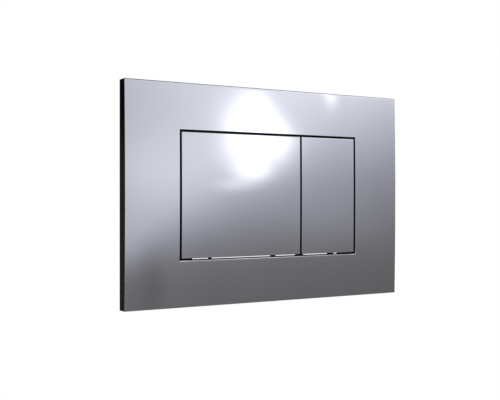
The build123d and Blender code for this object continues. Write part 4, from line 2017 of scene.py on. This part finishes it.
@dataclass
class Studio:
    """The floor, the lamps, the white world, the cards that the chrome mirrors, and the camera."""

    camera_place: tuple[float, float, float] = (-0.36297, -0.57498, -0.00304)
    camera_yaw: float = 31.194
    camera_pitch: float = -0.0494
    lens_mm: float = 62.504
    sensor_mm: float = 36.0
    clip_near: float = 0.01
    soft_light: float = 0.6
    disc_steps: int = 96
    floor_z: float = -1.0
    floor_radius: float = 3.4
    floor_colour: str = "#C8C8C8"
    floor_roughness: float = 0.9
    floor_glow: float = 0.14
    floor_fade: tuple[float, float] = (1.6, 3.3)
    card_radius: float = 3.0
    card_top: float = 3.0
    card_foot: float = -3.0
    card_ends: tuple[float, float] = (-112.0, 112.0)
    card_step: float = 2.0
    flag_ends: tuple[float, float] = (-166.0, -147.0)
    flag_height: float = 0.6
    flag_colour: str = "#FFF4EC"
    flag_fade: tuple[float, float] = (0.1, 0.35)
    flag_glow: tuple[float, float] = (0.02, 0.004)
    ceiling_colour: str = "#F4F4FF"
    ceiling_glow: float = 0.05
    key_lamp: tuple[float, float, float] = (-1.3, -1.5, 1.6)
    back_lamp: tuple[float, float, float] = (1.2, 1.6, 1.4)
    lamp_size: float = 1.2
    lamp_watts: float = 30.0

    @staticmethod
    def seen(tree: bpy.types.NodeTree) -> bpy.types.NodeSocket:
        """Adds nodes that tell rays that see a thing from rays that are only lit by it.

        Args:
            tree: the node tree that gets the nodes.

        Returns:
            The socket, which is one for camera, mirror and glass rays.
        """
        rays = add_node(tree, "ShaderNodeLightPath").outputs
        camera, mirror, glass = SEEN_RAYS
        found = add_sums(
            tree,
            {name: rays[name] for name in SEEN_RAYS},
            (("direct", "MAXIMUM", camera, mirror), ("any", "MAXIMUM", "direct", glass)),
        )
        return found["any"]

    def world(self) -> None:
        """Makes the world white where it is seen or mirrored, and a plain soft light elsewhere."""
        world = bpy.data.worlds.new("white_studio")
        bpy.context.scene.world = world
        world.use_nodes = True
        tree = world.node_tree
        sky = tree.nodes["Background"]
        sky.inputs["Color"].default_value = (1.0, 1.0, 1.0, 1.0)
        strength = (("strength", "MULTIPLY_ADD", "seen", 1 - self.soft_light, self.soft_light),)
        found = add_sums(tree, {"seen": self.seen(tree)}, strength)
        tree.links.new(found["strength"], sky.inputs["Strength"])

    def disc(self, name: str, radius: float, height: float) -> bpy.types.Mesh:
        """Builds a flat round mesh.

        Args:
            name: its name.
            radius: its radius.
            height: where it lies.

        Returns:
            The mesh.
        """
        bm = bmesh.new()
        bmesh.ops.create_circle(bm, cap_ends=True, radius=radius, segments=self.disc_steps)
        bmesh.ops.translate(bm, verts=bm.verts, vec=(0.0, 0.0, height))
        mesh = bpy.data.meshes.new(name)
        bm.to_mesh(mesh)
        bm.free()
        return mesh

    def floor(self) -> None:
        """Lays a pale floor that fades into the white world."""
        material = bpy.data.materials.new("pale_floor")
        material.use_nodes = True
        tree = material.node_tree
        shader = tree.nodes["Principled BSDF"]
        shader.inputs["Base Color"].default_value = linear(self.floor_colour)
        shader.inputs["Roughness"].default_value = self.floor_roughness
        shader.inputs["Specular IOR Level"].default_value = 0.0
        shader.inputs["Emission Color"].default_value = (1.0, 1.0, 1.0, 1.0)
        place = add_node(tree, "ShaderNodeTexCoord").outputs["Object"]
        parts = add_node(tree, "ShaderNodeSeparateXYZ", None, {0: place}).outputs
        found = add_sums(
            tree,
            {"seen": self.seen(tree), "x": parts["X"], "y": parts["Y"]},
            (
                ("glow", "MULTIPLY", "seen", self.floor_glow),
                ("x_squared", "MULTIPLY", "x", "x"),
                ("y_squared", "MULTIPLY", "y", "y"),
                ("both", "ADD", "x_squared", "y_squared"),
                ("radius", "SQRT", "both"),
            ),
        )
        tree.links.new(found["glow"], shader.inputs["Emission Strength"])
        first, last = self.floor_fade
        fade = add_node(
            tree,
            "ShaderNodeMapRange",
            {"interpolation_type": "SMOOTHSTEP"},
            {0: found["radius"], 1: first, 2: last, 3: 0.0, 4: 1.0},
        ).outputs[0]
        clear = add_node(tree, "ShaderNodeBsdfTransparent").outputs[0]
        shaders = {0: fade, 1: shader.outputs[0], 2: clear}
        mixed = add_node(tree, "ShaderNodeMixShader", None, shaders).outputs[0]
        tree.links.new(mixed, tree.nodes["Material Output"].inputs["Surface"])
        self.stand(self.disc("pale_floor", self.floor_radius, self.floor_z), material)

    def stand(self, mesh: bpy.types.Mesh, material: bpy.types.Material, mirrored_only: bool = False) -> None:
        """Puts a studio object in the scene, named after its mesh.

        Args:
            mesh: its mesh.
            material: its material.
            mirrored_only: whether only mirrors see it.
        """
        mesh.materials.append(material)
        obj = bpy.data.objects.new(mesh.name, mesh)
        bpy.context.scene.collection.objects.link(obj)
        if mirrored_only:
            obj.visible_camera = False
            obj.visible_diffuse = False
            obj.visible_shadow = False

    def card(
        self, name: str, ends: tuple[float, float], rows: tuple[float, float], material: bpy.types.Material
    ) -> None:
        """Stands a curved card round the object that only mirrors see.

        Args:
            name: its name.
            ends: the azimuths of its two ends in degrees, from the front towards +X.
            rows: the heights of its foot and top.
            material: its light.
        """
        first, last = ends
        steps = round((last - first) / self.card_step)
        points, faces = [], []
        for i in range(steps + 1):
            angle = math.radians(first + (last - first) * i / steps)
            x, y = self.card_radius * math.sin(angle), -self.card_radius * math.cos(angle)
            points += [(x, y, rows[0]), (x, y, rows[1])]
            if i:
                faces.append((2 * i - 2, 2 * i, 2 * i + 1, 2 * i - 1))
        mesh = bpy.data.meshes.new(name)
        mesh.from_pydata(points, [], faces)
        self.stand(mesh, material, mirrored_only=True)

    def front_card(self) -> None:
        """Stands the card in front that gives the chrome its light and dark."""
        light = FrontLight().build(self.card_radius)
        self.card("front_card", self.card_ends, (self.card_foot, self.card_top), light)

    def black_flag(self) -> None:
        """Stands the flag that darkens the plate's side, with almost no light of its own."""
        material, glow, known = glowing("black_flag")
        (low, high), (foot, top) = self.flag_fade, self.flag_glow
        heights = {0: known["height"], 1: low, 2: high, 3: foot, 4: top}
        shade = add_node(material.node_tree, "ShaderNodeMapRange", None, heights).outputs[0]
        glow.inputs["Color"].default_value = linear(self.flag_colour)
        material.node_tree.links.new(shade, glow.inputs["Strength"])
        self.card("black_flag", self.flag_ends, (-self.flag_height, self.flag_height), material)

    def ceiling(self) -> None:
        """Hangs a dark flag overhead, which only mirrors see."""
        material, glow, _ = glowing("ceiling_flag")
        glow.inputs["Color"].default_value = linear(self.ceiling_colour)
        glow.inputs["Strength"].default_value = self.ceiling_glow
        mesh = self.disc("ceiling_flag", self.card_radius, self.card_top)
        self.stand(mesh, material, mirrored_only=True)

    def lamp(self, name: str, place: Sequence[float]) -> None:
        """Hangs a square soft lamp that points at the plate and isn't mirrored.

        Args:
            name: its name.
            place: where it hangs.
        """
        data = bpy.data.lights.new(name, "AREA")
        data.size = self.lamp_size
        data.energy = self.lamp_watts
        lamp = bpy.data.objects.new(name, data)
        lamp.location = place
        lamp.rotation_mode = "QUATERNION"
        lamp.rotation_quaternion = (-Vector(place)).to_track_quat("-Z", "Y")
        lamp.visible_glossy = False
        bpy.context.scene.collection.objects.link(lamp)

    def camera(self) -> None:
        """Sets up the camera at the photograph's angle."""
        data = bpy.data.cameras.new("camera")
        data.sensor_width = self.sensor_mm
        data.lens = self.lens_mm
        data.clip_start = self.clip_near
        camera = bpy.data.objects.new("camera", data)
        camera.location = self.camera_place
        yaw, pitch = math.radians(self.camera_yaw), math.radians(self.camera_pitch)
        ahead = Vector((math.sin(yaw) * math.cos(pitch), math.cos(yaw) * math.cos(pitch), math.sin(pitch)))
        camera.rotation_mode = "QUATERNION"
        camera.rotation_quaternion = ahead.to_track_quat("-Z", "Y")
        bpy.context.scene.collection.objects.link(camera)
        bpy.context.scene.camera = camera

    def build(self) -> None:
        """Builds the whole studio."""
        self.world()
        self.floor()
        self.front_card()
        self.black_flag()
        self.ceiling()
        self.lamp("key_lamp", self.key_lamp)
        self.lamp("back_lamp", self.back_lamp)
        self.camera()
        bpy.context.scene.view_settings.view_transform = "Standard"


def main() -> None:
    """Builds the studio and every piece."""
    logging.basicConfig(level=logging.INFO, format="%(name)s %(message)s")
    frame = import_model()
    shop = Workshop(frame)
    Studio().build()
    PlatedFront(shop).build()
    Mouldings(shop).build()
    Fixings(shop).build()
    PushRods(shop).build()
    Hinges(shop).build()


if __name__ == "__main__":
    main()
